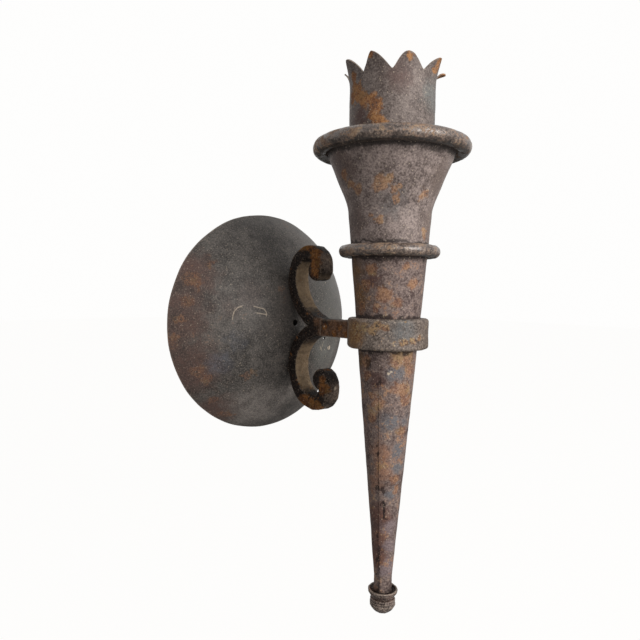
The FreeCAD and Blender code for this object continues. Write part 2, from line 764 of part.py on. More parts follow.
def make_lampholder_cap():
    """The steel cap, with a threaded boss for the nipple and two posts for the long screws."""
    body = new_body("lampholder_cap", torch_axis)
    wall = size["cap_wall"]
    outside = size["holder_radius"]
    boss_top = cap_top - wall
    revolve(body, "XZ_Plane", [
        (size["nipple_radius"], pan_top),
        (outside, pan_top),
        (outside, cap_top),
        (outside - wall, cap_top),
        (outside - wall, pan_top + wall),
        (size["boss_radius"], pan_top + wall),
        (size["boss_radius"], boss_top),
        (size["nipple_radius"], boss_top),
    ])
    for side in (-1, 1):
        reach = side * holder_screw_reach
        boss(body, "XY_Plane", size["post_radius"], size["cap_height"], (0, reach, pan_top))
        start = pan_top + size["holder_screw_stop"]
        drill(body, "XY_Plane", size["holder_screw_radius"], size["cap_height"],
              (0, reach, start))


def make_lampholder_body():
    """The porcelain body with its socket, its recess below and the holes between."""
    body = new_body("lampholder_body", torch_axis)
    outside = size["holder_radius"]
    pin_hole = size["pin_radius"]
    revolve(body, "XZ_Plane", [
        (pin_hole, recess_top),
        (size["recess_radius"], recess_top),
        (size["recess_radius"], cap_top),
        (outside, cap_top),
        (outside, holder_top),
        (size["socket_radius"], holder_top),
        (size["socket_radius"], socket_floor),
        (pin_hole, socket_floor),
    ])
    for side in (-1, 1):
        drill(body, "XY_Plane", size["holder_screw_radius"], size["holder_height"],
              (0, side * holder_screw_reach, cap_top))
    drill(body, "XY_Plane", pin_hole, size["socket_depth"], (shell_rivet_reach, 0, recess_top))


shell_inside = size["socket_radius"] - size["shell_wall"]
# the rivet stands in the middle of the flange's flat part
shell_flat = size["shell_lip"] - size["shell_corner"]
shell_rivet_reach = shell_inside - size["shell_lip"] + shell_flat / 2
terminal_screw_reach = size["terminal_inner"] + size["terminal_head_radius"]


def make_screw_shell():
    """The brass shell that the bulb screws into."""
    body = new_body("screw_shell", torch_axis)
    wall = size["shell_wall"]
    top = holder_top - size["shell_drop"]
    bend = size["shell_corner"]
    corner_top = socket_floor + wall + bend
    revolve(body, "XZ_Plane", [
        (shell_inside - size["shell_lip"], socket_floor),
        (shell_inside - bend, socket_floor, bend + wall, 1),
        (size["socket_radius"], corner_top),
        (size["socket_radius"], top),
        (shell_inside, top),
        (shell_inside, corner_top, bend, -1),
        (shell_inside - bend, socket_floor + wall),
        (shell_inside - size["shell_lip"], socket_floor + wall),
    ])
    drill(body, "XY_Plane", size["pin_radius"], size["socket_depth"],
          (shell_rivet_reach, 0, recess_top))


def make_centre_contact():
    """The centre contact, whose stem goes through the porcelain to its terminal."""
    body = new_body("centre_contact", torch_axis)
    low = recess_top - size["plate_thick"]
    high = socket_floor + size["contact_height"]
    revolve(body, "XZ_Plane", [
        (ZERO, low),
        (size["pin_radius"], low),
        (size["pin_radius"], socket_floor),
        (size["contact_radius"], socket_floor),
        (size["contact_radius"], high),
        (ZERO, high),
    ])


def make_shell_rivet():
    """The rivet that ties the screw shell to its terminal through the porcelain."""
    body = new_body("shell_rivet", (shell_rivet_reach, -size["torch_offset"], 0))
    low = recess_top - size["plate_thick"]
    seat = socket_floor + size["shell_wall"]
    head = shell_flat / 2
    revolve(body, "XZ_Plane", [
        (ZERO, low),
        (size["pin_radius"], low),
        (size["pin_radius"], seat),
        (head, seat),
        (head, seat + size["shell_wall"]),
        (ZERO, seat + size["shell_wall"]),
    ])


def make_terminal_plates():
    """The two brass plates in the recess: under the shell's rivet and under the contact's stem."""
    low = recess_top - size["plate_thick"]
    width = size["terminal_width"]
    spans = [
        (size["terminal_inner"], size["terminal_reach"], shell_rivet_reach),
        (-size["terminal_reach"], size["pin_radius"] + size["plate_thick"], ZERO),
    ]
    members = []
    for near, far, stem in spans:
        plate = primitive("Part::Box", "Plate",
                          {"Length": far - near, "Width": width, "Height": size["plate_thick"]},
                          (near, -size["torch_offset"] - width / 2, low))
        stem_hole = primitive("Part::Cylinder", "StemHole",
                              {"Radius": size["pin_radius"], "Height": size["plate_thick"]},
                              (stem, -size["torch_offset"], low))
        members.append(cut(plate, stem_hole))
    return members


def make_terminals():
    """The terminal plates with their holes, and the screw in each."""
    plates = []
    screws = []
    low = recess_top - size["plate_thick"]
    for plate, reach in zip(make_terminal_plates(), (terminal_screw_reach, -terminal_screw_reach)):
        at = (reach, -size["torch_offset"])
        shank = {"Radius": size["terminal_screw_radius"], "Height": size["plate_thick"]}
        plates.append(cut(plate, primitive("Part::Cylinder", "ScrewHole", shank, at + (low,))))
        screw = doc.addObject("Part::MultiFuse", "TerminalScrew")
        screw.Shapes = [
            primitive("Part::Cylinder", "Shank", shank, at + (low,)),
            primitive("Part::Cylinder", "Head",
                      {"Radius": size["terminal_head_radius"],
                       "Height": size["terminal_head_height"]},
                      at + (low - size["terminal_head_height"],)),
        ]
        screws.append(screw)
    group("terminal_plates", plates)
    group("terminal_screws", screws)


def make_holder_screws():
    """The two long screws from the porcelain's top into the cap's posts."""
    members = []
    low = pan_top + size["holder_screw_stop"]
    for side in (-1, 1):
        at = (0, side * holder_screw_reach - size["torch_offset"])
        screw = doc.addObject("Part::MultiFuse", "LongScrew")
        screw.Shapes = [
            primitive("Part::Cylinder", "Shank",
                      {"Radius": size["holder_screw_radius"], "Height": holder_top - low},
                      at + (low,)),
            primitive("Part::Cylinder", "Head",
                      {"Radius": size["holder_head_radius"],
                       "Height": size["holder_head_height"]}, at + (holder_top,)),
        ]
        members.append(screw)
    group("holder_screws", members)


# ------------------------------------------------------------------ finial
tail_end = size["cone_foot_height"] - size["cone_tail"]
cup_bottom = tail_end - size["cup_floor"]


def make_finial_cup():
    """The flared cup that the cone's tail stands in."""
    body = new_body("finial_cup", torch_axis)
    lip = tail_end + size["cup_rise"]
    inside = size["cup_radius"] - size["cup_lip"]
    flare = size["cup_radius"] - size["cup_foot_radius"]
    drop = lip - cup_bottom
    revolve(body, "XZ_Plane", [
        (size["stud_radius"], cup_bottom),
        (size["cup_foot_radius"], cup_bottom, (flare * flare + drop * drop) / (2 * flare), 1),
        (size["cup_radius"], lip, size["cup_lip_round"], 1),
        (inside, lip, size["cup_radius"], -1),
        (size["cone_foot_radius"], tail_end),
        (size["stud_radius"], tail_end),
    ])


def make_finial_button():
    """The grooved button at the very bottom, bored for the stud."""
    body = new_body("finial_button", torch_axis)
    side_low = cup_bottom - size["button_side"]
    step = size["button_side"] / (size["groove_count"] + 1)
    radius = size["button_radius"]
    groove = size["groove_depth"]
    corners = [
        (size["stud_radius"], cup_bottom),
        (size["stud_radius"], cup_bottom - size["stud_below"]),
        (ZERO, cup_bottom - size["stud_below"]),
        (ZERO, side_low - size["button_nose"], nose_radius(), 1),
        (radius, side_low),
    ]
    for number in range(int(size["groove_count"].value)):
        height = side_low + step * (number + 1)
        corners += [(radius, height - groove), (radius - groove, height),
                    (radius, height + groove)]
    corners.append((radius, cup_bottom))
    revolve(body, "XZ_Plane", corners)


def nose_radius():
    """Radius of the arc from the button's lowest point to its side."""
    across, rise = size["button_radius"], size["button_nose"]
    return (across * across + rise * rise) / (2 * rise)


def make_finial_stud():
    """The stud from the plug in the cone's tail, through the cup, into the button."""
    low = cup_bottom - size["stud_below"]
    stud = primitive("Part::Cylinder", "Stud",
                     {"Radius": size["stud_radius"],
                      "Height": tail_end + size["plug_height"] - low},
                     (0, -size["torch_offset"], low))
    keep(stud, "finial_stud")


def make_tail_plug():
    """The threaded plug welded in the cone's tail."""
    body = new_body("tail_plug", torch_axis)
    outside = size["cone_foot_radius"] - size["torch_sheet"]
    revolve(body, "XZ_Plane", [
        (size["stud_radius"], tail_end),
        (outside, tail_end),
        (outside, tail_end + size["plug_height"]),
        (size["stud_radius"], tail_end + size["plug_height"]),
    ])


def build_all():
    """Make every piece in the order in which the sconce is put together."""
    make_back_plate()
    make_hanger_bar()
    make_ground_screw()
    make_scroll("upper_scroll", "upper", 0)
    make_scroll("lower_scroll", "lower", 180)
    make_arm()
    make_collar()
    make_torch_cone()
    make_torch_head()
    make_rings()
    make_pan()
    make_crown()
    make_crown_rivets()
    make_nipple()
    make_lock_nut()
    make_lampholder_cap()
    make_lampholder_body()
    make_screw_shell()
    make_centre_contact()
    make_shell_rivet()
    make_terminals()
    make_holder_screws()
    make_finial_cup()
    make_finial_button()
    make_finial_stud()
    make_tail_plug()


def check_and_write():
    """Stop if anything failed, then write one file for each piece."""
    doc.recompute()
    for item in doc.Objects:
        if "Invalid" in item.State or "Error" in item.State:
            raise RuntimeError("%s failed: %s" % (item.Label, item.State))
    os.makedirs("parts", exist_ok=True)
    for item in nodes:
        if item.Shape.isNull() or not item.Shape.isValid():
            raise RuntimeError("%s has no valid shape" % item.Label)
        item.Shape.exportStep(os.path.join("parts", item.Label + ".step"))


build_all()
check_and_write()
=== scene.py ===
import logging
import math
from dataclasses import dataclass, field
from enum import Enum
from typing import Any, Callable, List, Mapping, Optional, Sequence, Tuple, Union

import bmesh
import bpy
from mathutils import Matrix, Vector, noise


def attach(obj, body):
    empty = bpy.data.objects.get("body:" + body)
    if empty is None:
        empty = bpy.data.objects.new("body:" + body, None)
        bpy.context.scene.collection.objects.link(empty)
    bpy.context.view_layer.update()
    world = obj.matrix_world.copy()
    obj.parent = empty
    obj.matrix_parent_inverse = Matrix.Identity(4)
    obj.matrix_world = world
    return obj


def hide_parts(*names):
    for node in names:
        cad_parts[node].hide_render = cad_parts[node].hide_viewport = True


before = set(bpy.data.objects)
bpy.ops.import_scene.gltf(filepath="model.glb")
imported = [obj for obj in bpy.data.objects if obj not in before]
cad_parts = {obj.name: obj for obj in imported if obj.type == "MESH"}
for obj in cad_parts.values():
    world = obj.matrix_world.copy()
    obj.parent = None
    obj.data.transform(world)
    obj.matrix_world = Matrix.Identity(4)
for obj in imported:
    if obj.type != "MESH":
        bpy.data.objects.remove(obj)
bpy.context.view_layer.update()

# The looks of a forged-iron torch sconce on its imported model. Sizes are in millimetres until a
# piece is handed over, which brings it to the frame's metres. +Z is up and the wall is at Y = 0.

LOG = logging.getLogger("torch_sconce")
MM = 0.001
BODY = "root"
TORCH_AXIS = (0.0, -175.5, 0.0)
FACING = -137.4  # the way from the torch to the camera, in degrees about Z

Point = Tuple[float, float, float]
Colour = Tuple[float, float, float, float]
Spot = Tuple[float, float, float, float]  # X, Y, Z and radius
Line = Tuple[Point, ...]
Value = Union["Link", float]


def tint(red: float, green: float, blue: float) -> Colour:
    """Turn a screen colour of 0 to 255 into the shader's linear one."""
    shares = [part / 255.0 for part in (red, green, blue)]
    return tuple(share / 12.92 if share <= 0.04045 else ((share + 0.055) / 1.055) ** 2.4
                 for share in shares) + (1.0,)


def darker(colour: Colour, share: float) -> Colour:
    """Keep a share of a colour's brightness."""
    return tuple(part * share for part in colour[:3]) + (1.0,)


def ease(value: float, low: float, high: float) -> float:
    """Rise smoothly from 0 where value is low to 1 where it is high."""
    share = min(1.0, max(0.0, (value - low) / (high - low)))
    return share * share * (3.0 - 2.0 * share)


# ---- finishes
@dataclass
class Link:
    """One output of a node, on which Python's arithmetic adds Math nodes."""

    nodes: "Nodes"
    socket: bpy.types.NodeSocket

    def math(self, operation: str, first: Value, second: Value) -> "Link":
        """Add one Math node on two values."""
        return self.nodes.node("Math", {"operation": operation}, {0: first, 1: second})

    def __add__(self, other: Value) -> "Link":
        """Add another value."""
        return self.math("ADD", self, other)

    def __sub__(self, other: Value) -> "Link":
        """Take another value away."""
        return self.math("SUBTRACT", self, other)

    def __rsub__(self, other: Value) -> "Link":
        """Take this away from a number."""
        return self.math("SUBTRACT", other, self)

    def __mul__(self, other: Value) -> "Link":
        """Multiply by another value."""
        return self.math("MULTIPLY", self, other)

    __radd__ = __add__
    __rmul__ = __mul__

    def most(self, other: Value) -> "Link":
        """Keep the larger of two values."""
        return self.math("MAXIMUM", self, other)

    def least(self, other: Value) -> "Link":
        """Keep the smaller of two values."""
        return self.math("MINIMUM", self, other)


class Nodes:
    """A node tree under construction."""

    def __init__(self, tree: bpy.types.NodeTree) -> None:
        """Start on a tree, which is emptied."""
        self.tree = tree
        self.tree.nodes.clear()

    def node(self, kind: str, settings: Mapping[str, Any], values: Mapping[Any, Any],
             output: Union[int, str] = 0) -> Link:
        """Add a node.

        Args:
            kind: The node's type, without its first words.
            settings: Properties that are set before its sockets.
            values: Socket name or number to a value or a link.
            output: Which output to give back.

        Returns:
            That output.
        """
        made = self.tree.nodes.new("ShaderNode" + kind)
        for name, setting in settings.items():
            setattr(made, name, setting)
        for name, value in values.items():
            if isinstance(value, Link):
                self.tree.links.new(value.socket, made.inputs[name])
            else:
                made.inputs[name].default_value = value
        return Link(self, made.outputs[output])

    def vector(self, operation: str, values: Mapping[Any, Any], output: str = "Vector") -> Link:
        """Add one Vector Math node and give one of its outputs."""
        return self.node("VectorMath", {"operation": operation}, values, output)

    def close(self, kind: str, shader: Link) -> None:
        """Join the last shader to a new output node of a kind."""
        self.tree.links.new(shader.socket, self.tree.nodes.new(kind).inputs["Surface"])


class Paint(Nodes):
    """A material under construction, with the few kinds of node it is mixed from."""

    def __init__(self, name: str) -> None:
        """Start an empty material.

        Args:
            name: The material's name.
        """
        self.material = bpy.data.materials.new(name)
        self.material.use_nodes = True
        super().__init__(self.material.node_tree)
        self.place = self.node("TexCoord", {}, {}, "Object")
        self.strayed = self.place

    def mottle(self, size: float, seed: float = 0.0, detail: float = 3.0,
               stretch: Point = (1.0, 1.0, 1.0)) -> Link:
        """Noise from 0 to 1 whose blotches have a size.

        Args:
            size: Size of a blotch in millimetres.
            seed: Which of the patterns.
            detail: How many finer layers.
            stretch: Scale along X, Y and Z.

        Returns:
            The noise.
        """
        place = self.node("Mapping", {}, {"Vector": self.place, "Scale": stretch})
        return self.node("TexNoise", {"noise_dimensions": "4D"},
                         {"Vector": place, "W": seed, "Scale": 1.0 / (size * MM),
                          "Detail": detail, "Roughness": 0.6})

    def stray(self, push: float, size: float, seed: float) -> None:
        """Let patches wander off their round shape from now on.

        Args:
            push: How far they wander, in millimetres.
            size: Size of the wandering in millimetres.
            seed: Which of the patterns.
        """
        drift = self.node("TexNoise", {"noise_dimensions": "4D"},
                          {"Vector": self.place, "W": seed, "Scale": 1.0 / (size * MM),
                           "Detail": 2.0}, "Color")
        drift = self.vector("SUBTRACT", {0: drift, 1: (0.5, 0.5, 0.5)})
        drift = self.vector("SCALE", {0: drift, "Scale": push * 4.0 * MM})
        self.strayed = self.vector("ADD", {0: self.place, 1: drift})

    def pits(self, size: float) -> Link:
        """Distance from points scattered at a spacing, for pits and specks."""
        return self.node("TexVoronoi", {},
                         {"Vector": self.place, "Scale": 1.0 / (size * MM), "Randomness": 1.0})

    def band(self, value: Link, low: float, high: float) -> Link:
        """Rise smoothly from 0 where value is low to 1 where it is high."""
        return self.node("MapRange", {"interpolation_type": "SMOOTHSTEP"},
                         {"Value": value, "From Min": low, "From Max": high})

    def mix(self, first: Any, second: Any, share: Value) -> Link:
        """Blend from a first colour at share 0 to a second one at share 1."""
        return self.node("Mix", {"data_type": "RGBA"}, {0: share, 6: first, 7: second}, 2)

    def around(self, spots: Sequence[Spot], ragged: Link, reach: float = 0.9,
               edge: Tuple[float, float] = (0.7, 1.15)) -> Link:
        """Mask that is 1 in ragged patches about some places.

        Args:
            spots: Places and radii in millimetres.
            ragged: Noise that frays the edges.
            reach: How far the noise moves an edge, in radii.
            edge: Where the edge starts and ends, in radii.

        Returns:
            The mask.
        """
        mask: Optional[Link] = None
        for *place, radius in spots:
            centre = tuple(part * MM for part in place)
            away = self.vector("DISTANCE", {0: self.strayed, 1: centre}, "Value")
            share = away * (1.0 / (radius * MM)) + (ragged - 0.5) * (2.0 * reach)
            patch = 1.0 - self.band(share, *edge)
            mask = patch if mask is None else mask.most(patch)
        return mask

    def along(self, points: Line, width: float, ragged: Link) -> Link:
        """Mask that is 1 on a thin broken line through some places.

        Args:
            points: The line's corners in millimetres.
            width: Half of its width in millimetres.
            ragged: Noise that wanders and breaks it.

        Returns:
            The mask.
        """
        nearest: Optional[Link] = None
        for first, second in zip(points, points[1:]):
            start = Vector(first) * MM
            run = Vector(second) * MM - start
            away = self.vector("SUBTRACT", {0: self.place, 1: start[:]})
            share = self.vector("DOT_PRODUCT", {0: away, 1: (run / run.length_squared)[:]}, "Value")
            share = self.node("Clamp", {}, {"Value": share})
            foot = self.vector("SCALE", {0: run[:], "Scale": share})
            far = self.vector("DISTANCE", {0: away, 1: foot}, "Value")
            nearest = far if nearest is None else nearest.least(far)
        wide = nearest * (1.0 / (width * MM)) + (ragged - 0.5) * 2.4
        return 1.0 - self.band(wide, 0.5, 1.3)

    def level(self, height: float, reach: float, ragged: Link) -> Link:
        """Mask that is 1 in a ragged belt at a height.

        Args:
            height: The height in millimetres.
            reach: Half of the belt's width in millimetres.
            ragged: Noise that frays the edges.

        Returns:
            The mask.
        """
        away = self.node("SeparateXYZ", {}, {"Vector": self.strayed}, "Z") - height * MM
        near = away.math("ABSOLUTE", away, 0.0) * (1.0 / (reach * MM)) + (ragged - 0.5) * 1.2
        return 1.0 - self.band(near, 0.3, 1.2)

    def painted(self, name: str) -> Link:
        """Read a value that was painted on the mesh."""
        return self.node("Attribute", {"attribute_name": name}, {}, "Fac")

    def shader(self, colour: Any, roughness: Value, metallic: Value, height: Optional[Link] = None,
               relief: float = 0.3, shine: float = 0.5) -> Link:
        """Add the shader.

        Args:
            colour: Colour or link.
            roughness: Roughness or link.
            metallic: Metallic or link.
            height: Height of the surface's relief, from 0 to 1.
            relief: Depth of that relief in millimetres.
            shine: How much light the surface throws back.

        Returns:
            The shader.
        """
        values = {"Base Color": colour, "Roughness": roughness, "Metallic": metallic,
                  "Specular IOR Level": shine}
        if height is not None:
            values["Normal"] = self.node("Bump", {}, {"Strength": 1.0, "Distance": relief * MM,
                                                      "Height": height})
        return self.node("BsdfPrincipled", {}, values)

    def finish(self, shader: Link) -> bpy.types.Material:
        """Close the material with its shader."""
        self.close("ShaderNodeOutputMaterial", shader)
        return self.material


@dataclass(frozen=True)
class Zone:
    """A soft tint over part of a surface."""

    colour: Colour
    strength: float
    spots: Tuple[Spot, ...]


class IronPaint(Paint):
    """A material under construction, with the three noises that iron is mixed from."""

    def __init__(self, iron: "Iron") -> None:
        """Start the material of a finish.

        Args:
            iron: The finish.
        """
        super().__init__(iron.name)
        self.stray(iron.blotch * 0.2, 7.0, iron.seed + 60.0)
        self.broad = self.mottle(iron.blotch, iron.seed, 4.0)
        self.middle = self.mottle(iron.blotch * 0.3, iron.seed + 3.1, 4.0, iron.stretch)
        self.fine = self.mottle(iron.grain, iron.seed + 7.7, 2.0)


@dataclass(frozen=True)
class Iron:
    """Old forged iron: dark oxide, worn edges, rust in blotches and a fine grit all over."""

    name: str
    dark: Colour
    pale: Colour
    rust: Colour = tint(112, 74, 50)
    ember: Colour = tint(166, 118, 74)
    straw: Colour = tint(158, 130, 82)
    worn: Colour = tint(150, 134, 120)
    # painted light on the tops of the grit
    grit_top_light: Colour = tint(176, 162, 150)
    bright: Colour = tint(196, 180, 160)
    spread: float = 0.62  # noise above this is rust
    blotch: float = 16.0  # size of the blotches
    grain: float = 1.7  # size of the grit
    grit: float = 0.5  # share of the grit in the iron's tone
    contrast: float = 0.6  # strength of the grit's own shading
    relief: float = 0.3  # depth of the grit
    roughness: float = 0.6
    metallic: float = 0.15
    shine: float = 0.25
    specks: float = 0.5  # strength of the bright dots
    wear: float = 0.5  # strength of the rubbed edges
    cover: float = 0.8  # how much of the iron the rust hides
    rusted: Tuple[Spot, ...] = ()
    # dark spots; those down the torch's lap seam are painted shade in the lap's notch
    dark_spots_and_shade: Tuple[Spot, ...] = ()
    # bright patches: rubbed places, and on the torch a painted glint
    rubbed: Tuple[Spot, ...] = ()
    scratches: Tuple[Line, ...] = ()
    zones: Tuple[Zone, ...] = ()
    front: Optional[Colour] = None  # colour where "front" is painted on the mesh: partly the bar's own tan, partly painted light on faces turned to the lamp
    stretch: Point = (1.0, 1.0, 1.0)
    solid: float = 0.0  # from 0, gritty patches of rust, to 1, closed ones
    painted_shade_belts: Tuple[Tuple[float, float], ...] = ()  # height and reach of each belt of painted shade where parts meet
    # dark lines down the lap seam: painted shadow of the lapped sheet's edge
    seam_shadow_lines: Tuple[Line, ...] = ()
    seed: float = 0.0

    def make(self) -> bpy.types.Material:
        """Mix the finish.

        Returns:
            The material.
        """
        paint = IronPaint(self)
        rusty = self.rusting(paint)
        colour = paint.mix(self.base(paint), self.rust_colour(paint), rusty * self.cover)
        colour = self.marks(paint, self.gritty(paint, colour))
        height = paint.fine * 0.6 + paint.middle * 0.4 + rusty * 0.2
        rough = self.roughness + rusty * (0.9 - self.roughness) + (paint.fine - 0.5) * 0.25
        return paint.finish(paint.shader(colour, rough, (1.0 - rusty) * self.metallic, height,
                                         self.relief, self.shine))

    def base(self, paint: IronPaint) -> Link:
        """Mix the bare iron with its tints and worn edges.

        Args:
            paint: The material.

        Returns:
            Its colour.
        """
        tone = paint.band(paint.broad * 0.45 + paint.middle * 0.35 + paint.fine * self.grit,
                          0.30 + self.grit * 0.38, 0.50 + self.grit * 0.62)
        colour = paint.mix(self.dark, self.pale, tone)
        for zone in self.zones:
            soft = paint.around(zone.spots, paint.middle, 0.6, (0.35, 1.2))
            colour = paint.mix(colour, zone.colour, soft * (0.35 + tone) * zone.strength)
        # the tan on faces turned to the torch and the lamp is partly the bar's own colour, partly
        # painted light
        if self.front is not None:
            streak = paint.band(paint.mottle(5.0, self.seed + 40.0, 3.0), 0.3, 0.7)
            tan = paint.mix(self.front, darker(self.front, 0.5), streak * 0.8)
            colour = paint.mix(colour, tan, paint.painted("front"))
        rubbed = paint.band(paint.painted("wear") + (paint.fine - 0.5) * 0.9, 0.35, 0.9)
        return paint.mix(colour, self.worn, rubbed * self.wear)

    def rusting(self, paint: IronPaint) -> Link:
        """Mask the rust.

        Args:
            paint: The material.

        Returns:
            The share of rust.
        """
        strewn = paint.broad * 0.5 + paint.middle * 0.4 + paint.fine * 0.25
        rusty = paint.band(strewn, self.spread - 0.03, self.spread + 0.06)
        if self.rusted:
            near = paint.around(self.rusted, paint.middle * 0.7 + paint.fine * 0.3, 1.1, (0.6, 1.1))
            rough = (paint.fine * (0.7 - self.solid * 0.3)
                     + paint.middle * (0.5 + self.solid * 0.3))
            low = 0.48 - self.solid * 0.2
            rusty = rusty.most(near * paint.band(rough, low, low + 0.18))
        return rusty

    def rust_colour(self, paint: IronPaint) -> Link:
        """Mix the rust's own colours.

        Args:
            paint: The material.

        Returns:
            Its colour.
        """
        kind = paint.mottle(6.5, self.seed + 11.0, 3.0) + (paint.fine - 0.5) * 0.6
        warm = paint.mix(self.rust, self.ember, paint.band(kind, 0.38, 0.62))
        yellow = paint.band(paint.mottle(11.0, self.seed + 15.0, 3.0), 0.52, 0.66)
        return paint.mix(warm, self.straw, yellow * 0.8)

    def gritty(self, paint: IronPaint, colour: Link) -> Link:
        """Paint shade into the hollows and light onto the tops of the finest grit.

        Args:
            paint: The material.
            colour: The colour so far.

        Returns:
            The colour.
        """
        sand = paint.mottle(self.grain * 0.8, self.seed + 70.0, 1.0) * 0.6 + paint.fine * 0.4
        low = 1.0 - paint.band(sand, 0.30, 0.54)
        colour = paint.mix(colour, darker(self.dark, 0.4), low * self.contrast)
        return paint.mix(colour, self.grit_top_light, paint.band(sand, 0.50, 0.70) * self.contrast * 0.5)

    def marks(self, paint: IronPaint, colour: Link) -> Link:
        """Add dark spots, painted shade where parts meet, rubbed places and painted glints,
        scratches and bright specks.

        Args:
            paint: The material.
            colour: The colour so far.

        Returns:
            The colour.
        """
        black = darker(self.dark, 0.25)
        wander = paint.mottle(2.6, self.seed + 50.0, 2.0)
        # dark spots, partly painted shade in the lap's notch
        if self.dark_spots_and_shade:
            dark_spot_mask = paint.around(self.dark_spots_and_shade, paint.middle * 0.6 + paint.fine * 0.4, 0.8)
            colour = paint.mix(colour, black, dark_spot_mask * 0.75)
        # painted shade: a dark belt at each height where one part meets another
        for height, reach in self.painted_shade_belts:
            colour = paint.mix(colour, black, paint.level(height, reach, paint.middle) * 0.8)
        # bright patches: rubbed places and painted glints
        if self.rubbed:
            bare_and_glint = paint.around(self.rubbed, paint.fine, 0.8)
            colour = paint.mix(colour, self.bright, bare_and_glint * 0.8)
        for line in self.scratches:
            colour = paint.mix(colour, self.bright, paint.along(line, 0.55, wander) * 0.45)
        # painted shadow along the edge of the lapped sheet
        for line in self.seam_shadow_lines:
            colour = paint.mix(colour, black, paint.along(line, 1.0, wander) * 0.85)
        dots = 1.0 - paint.band(paint.pits(2.1), 0.12, 0.30)
        dots = dots * paint.band(paint.mottle(2.4, self.seed + 20.0, 0.0), 0.50, 0.64)
        return paint.mix(colour, self.bright, dots * self.specks)


@dataclass(frozen=True)
class Metal:
    """A plain machined or drawn metal with fine lines and some tarnish."""

    name: str
    bright: Colour
    dull: Colour
    roughness: float = 0.35

    def make(self) -> bpy.types.Material:
        """Mix the finish.

        Returns:
            The material.
        """
        paint = Paint(self.name)
        cloud = paint.band(paint.mottle(6.0, 1.0), 0.35, 0.7)
        lines = paint.mottle(0.5, 2.0, 1.0, (1.0, 1.0, 6.0))
        colour = paint.mix(self.bright, self.dull, cloud)
        rough = self.roughness + cloud * 0.2 + (lines - 0.5) * 0.12
        return paint.finish(paint.shader(colour, rough, 1.0, lines, 0.03))


@dataclass(frozen=True)
class Coated:
    """A smooth coat such as glaze or enamel, with faint clouds and a few chips."""

    name: str
    coat: Colour
    under: Colour
    roughness: float = 0.2

    def make(self) -> bpy.types.Material:
        """Mix the finish.

        Returns:
            The material.
        """
        paint = Paint(self.name)
        cloud = paint.band(paint.mottle(9.0, 4.0), 0.3, 0.8)
        specks = 1.0 - paint.band(paint.pits(3.0), 0.05, 0.12)
        colour = paint.mix(self.coat, self.under, cloud * 0.35 + specks * 0.5)
        ripple = paint.mottle(3.0, 9.0, 1.0)
        return paint.finish(paint.shader(colour, self.roughness + cloud * 0.15, 0.0, ripple, 0.05))


PLATE_IRON = Iron("plate_iron", tint(48, 45, 43), tint(98, 93, 89), rust=tint(96, 66, 52),
    ember=tint(132, 94, 68), straw=tint(124, 100, 72), spread=0.7, blotch=24, grain=1.4, grit=0.5,
    contrast=0.36, solid=0.1, roughness=0.55, shine=0.3, specks=0.4, wear=0.2, relief=0.16,
    cover=0.55,
    rusted=((-92.4, -10.7, 43.8, 10), (-88, -14, 38, 7), (-87.7, -15.9, -42.2, 8),
        (-80.1, -17.6, -52.1, 7), (-48.1, -37, -50.6, 6), (-40, -40, -46, 5),
        (-102.4, -10.4, 4.9, 7), (-107.1, -3.9, -13.9, 9), (-69.3, -12.3, -73.1, 6),
        (-52, -8, -90.7, 8), (-96.9, -13.4, 23.4, 7), (-76, -20, 60, 7)),
    rubbed=((46.4, -44.8, -28.6, 1.6), (56.8, -41, -26.3, 2.4), (48.8, -39.9, 42.4, 1.6)),
    scratches=(((-64.3, -40, 5.8), (-63.8, -39.9, 10), (-62.7, -40.2, 13.3), (-60.2, -41.1, 16.5),
        (-55, -43.2, 18.8)), ((-45.3, -47.1, 18.2), (-40.8, -48.8, 16.9), (-36.1, -50.3, 15.6),
        (-34.1, -51.1, 12.8), (-34, -51.4, 9)), ((-42.9, -48.6, 11.9), (-34.4, -51.2, 10.5)),
        ((41, -48.4, -19.5), (38, -47.5, -31)), ((36, -48.8, -24), (44, -45.5, -33))),
    zones=(Zone(tint(88, 68, 62), 0.9, ((-104, -6, 10, 38), (-92, -10, -40, 36), (-92, -10, 45, 30),
              (-60, -8, -86, 26))),
           Zone(tint(78, 66, 62), 0.5, ((-66, -38, 16, 12), (-45, -44, 30, 16))),
           Zone(tint(90, 94, 104), 0.5, ((-70, -28, -34, 14), (-58, -34, -14, 12))),
           # painted reflection: the dome's right side, turned towards the light, made greyer and
           # lighter
           Zone(tint(80, 79, 76), 0.9, ((60, -37, 30, 44),)),
           Zone(tint(106, 106, 102), 0.8, ((50, -42, -25, 30),)),
           Zone(tint(134, 127, 122), 0.9, ((-26, -26, -84, 34), (-2, -30, -70, 20))),
           Zone(tint(84, 78, 74), 0.7, ((-10, -52, 20, 26), (-24, -50, 0, 20)))))
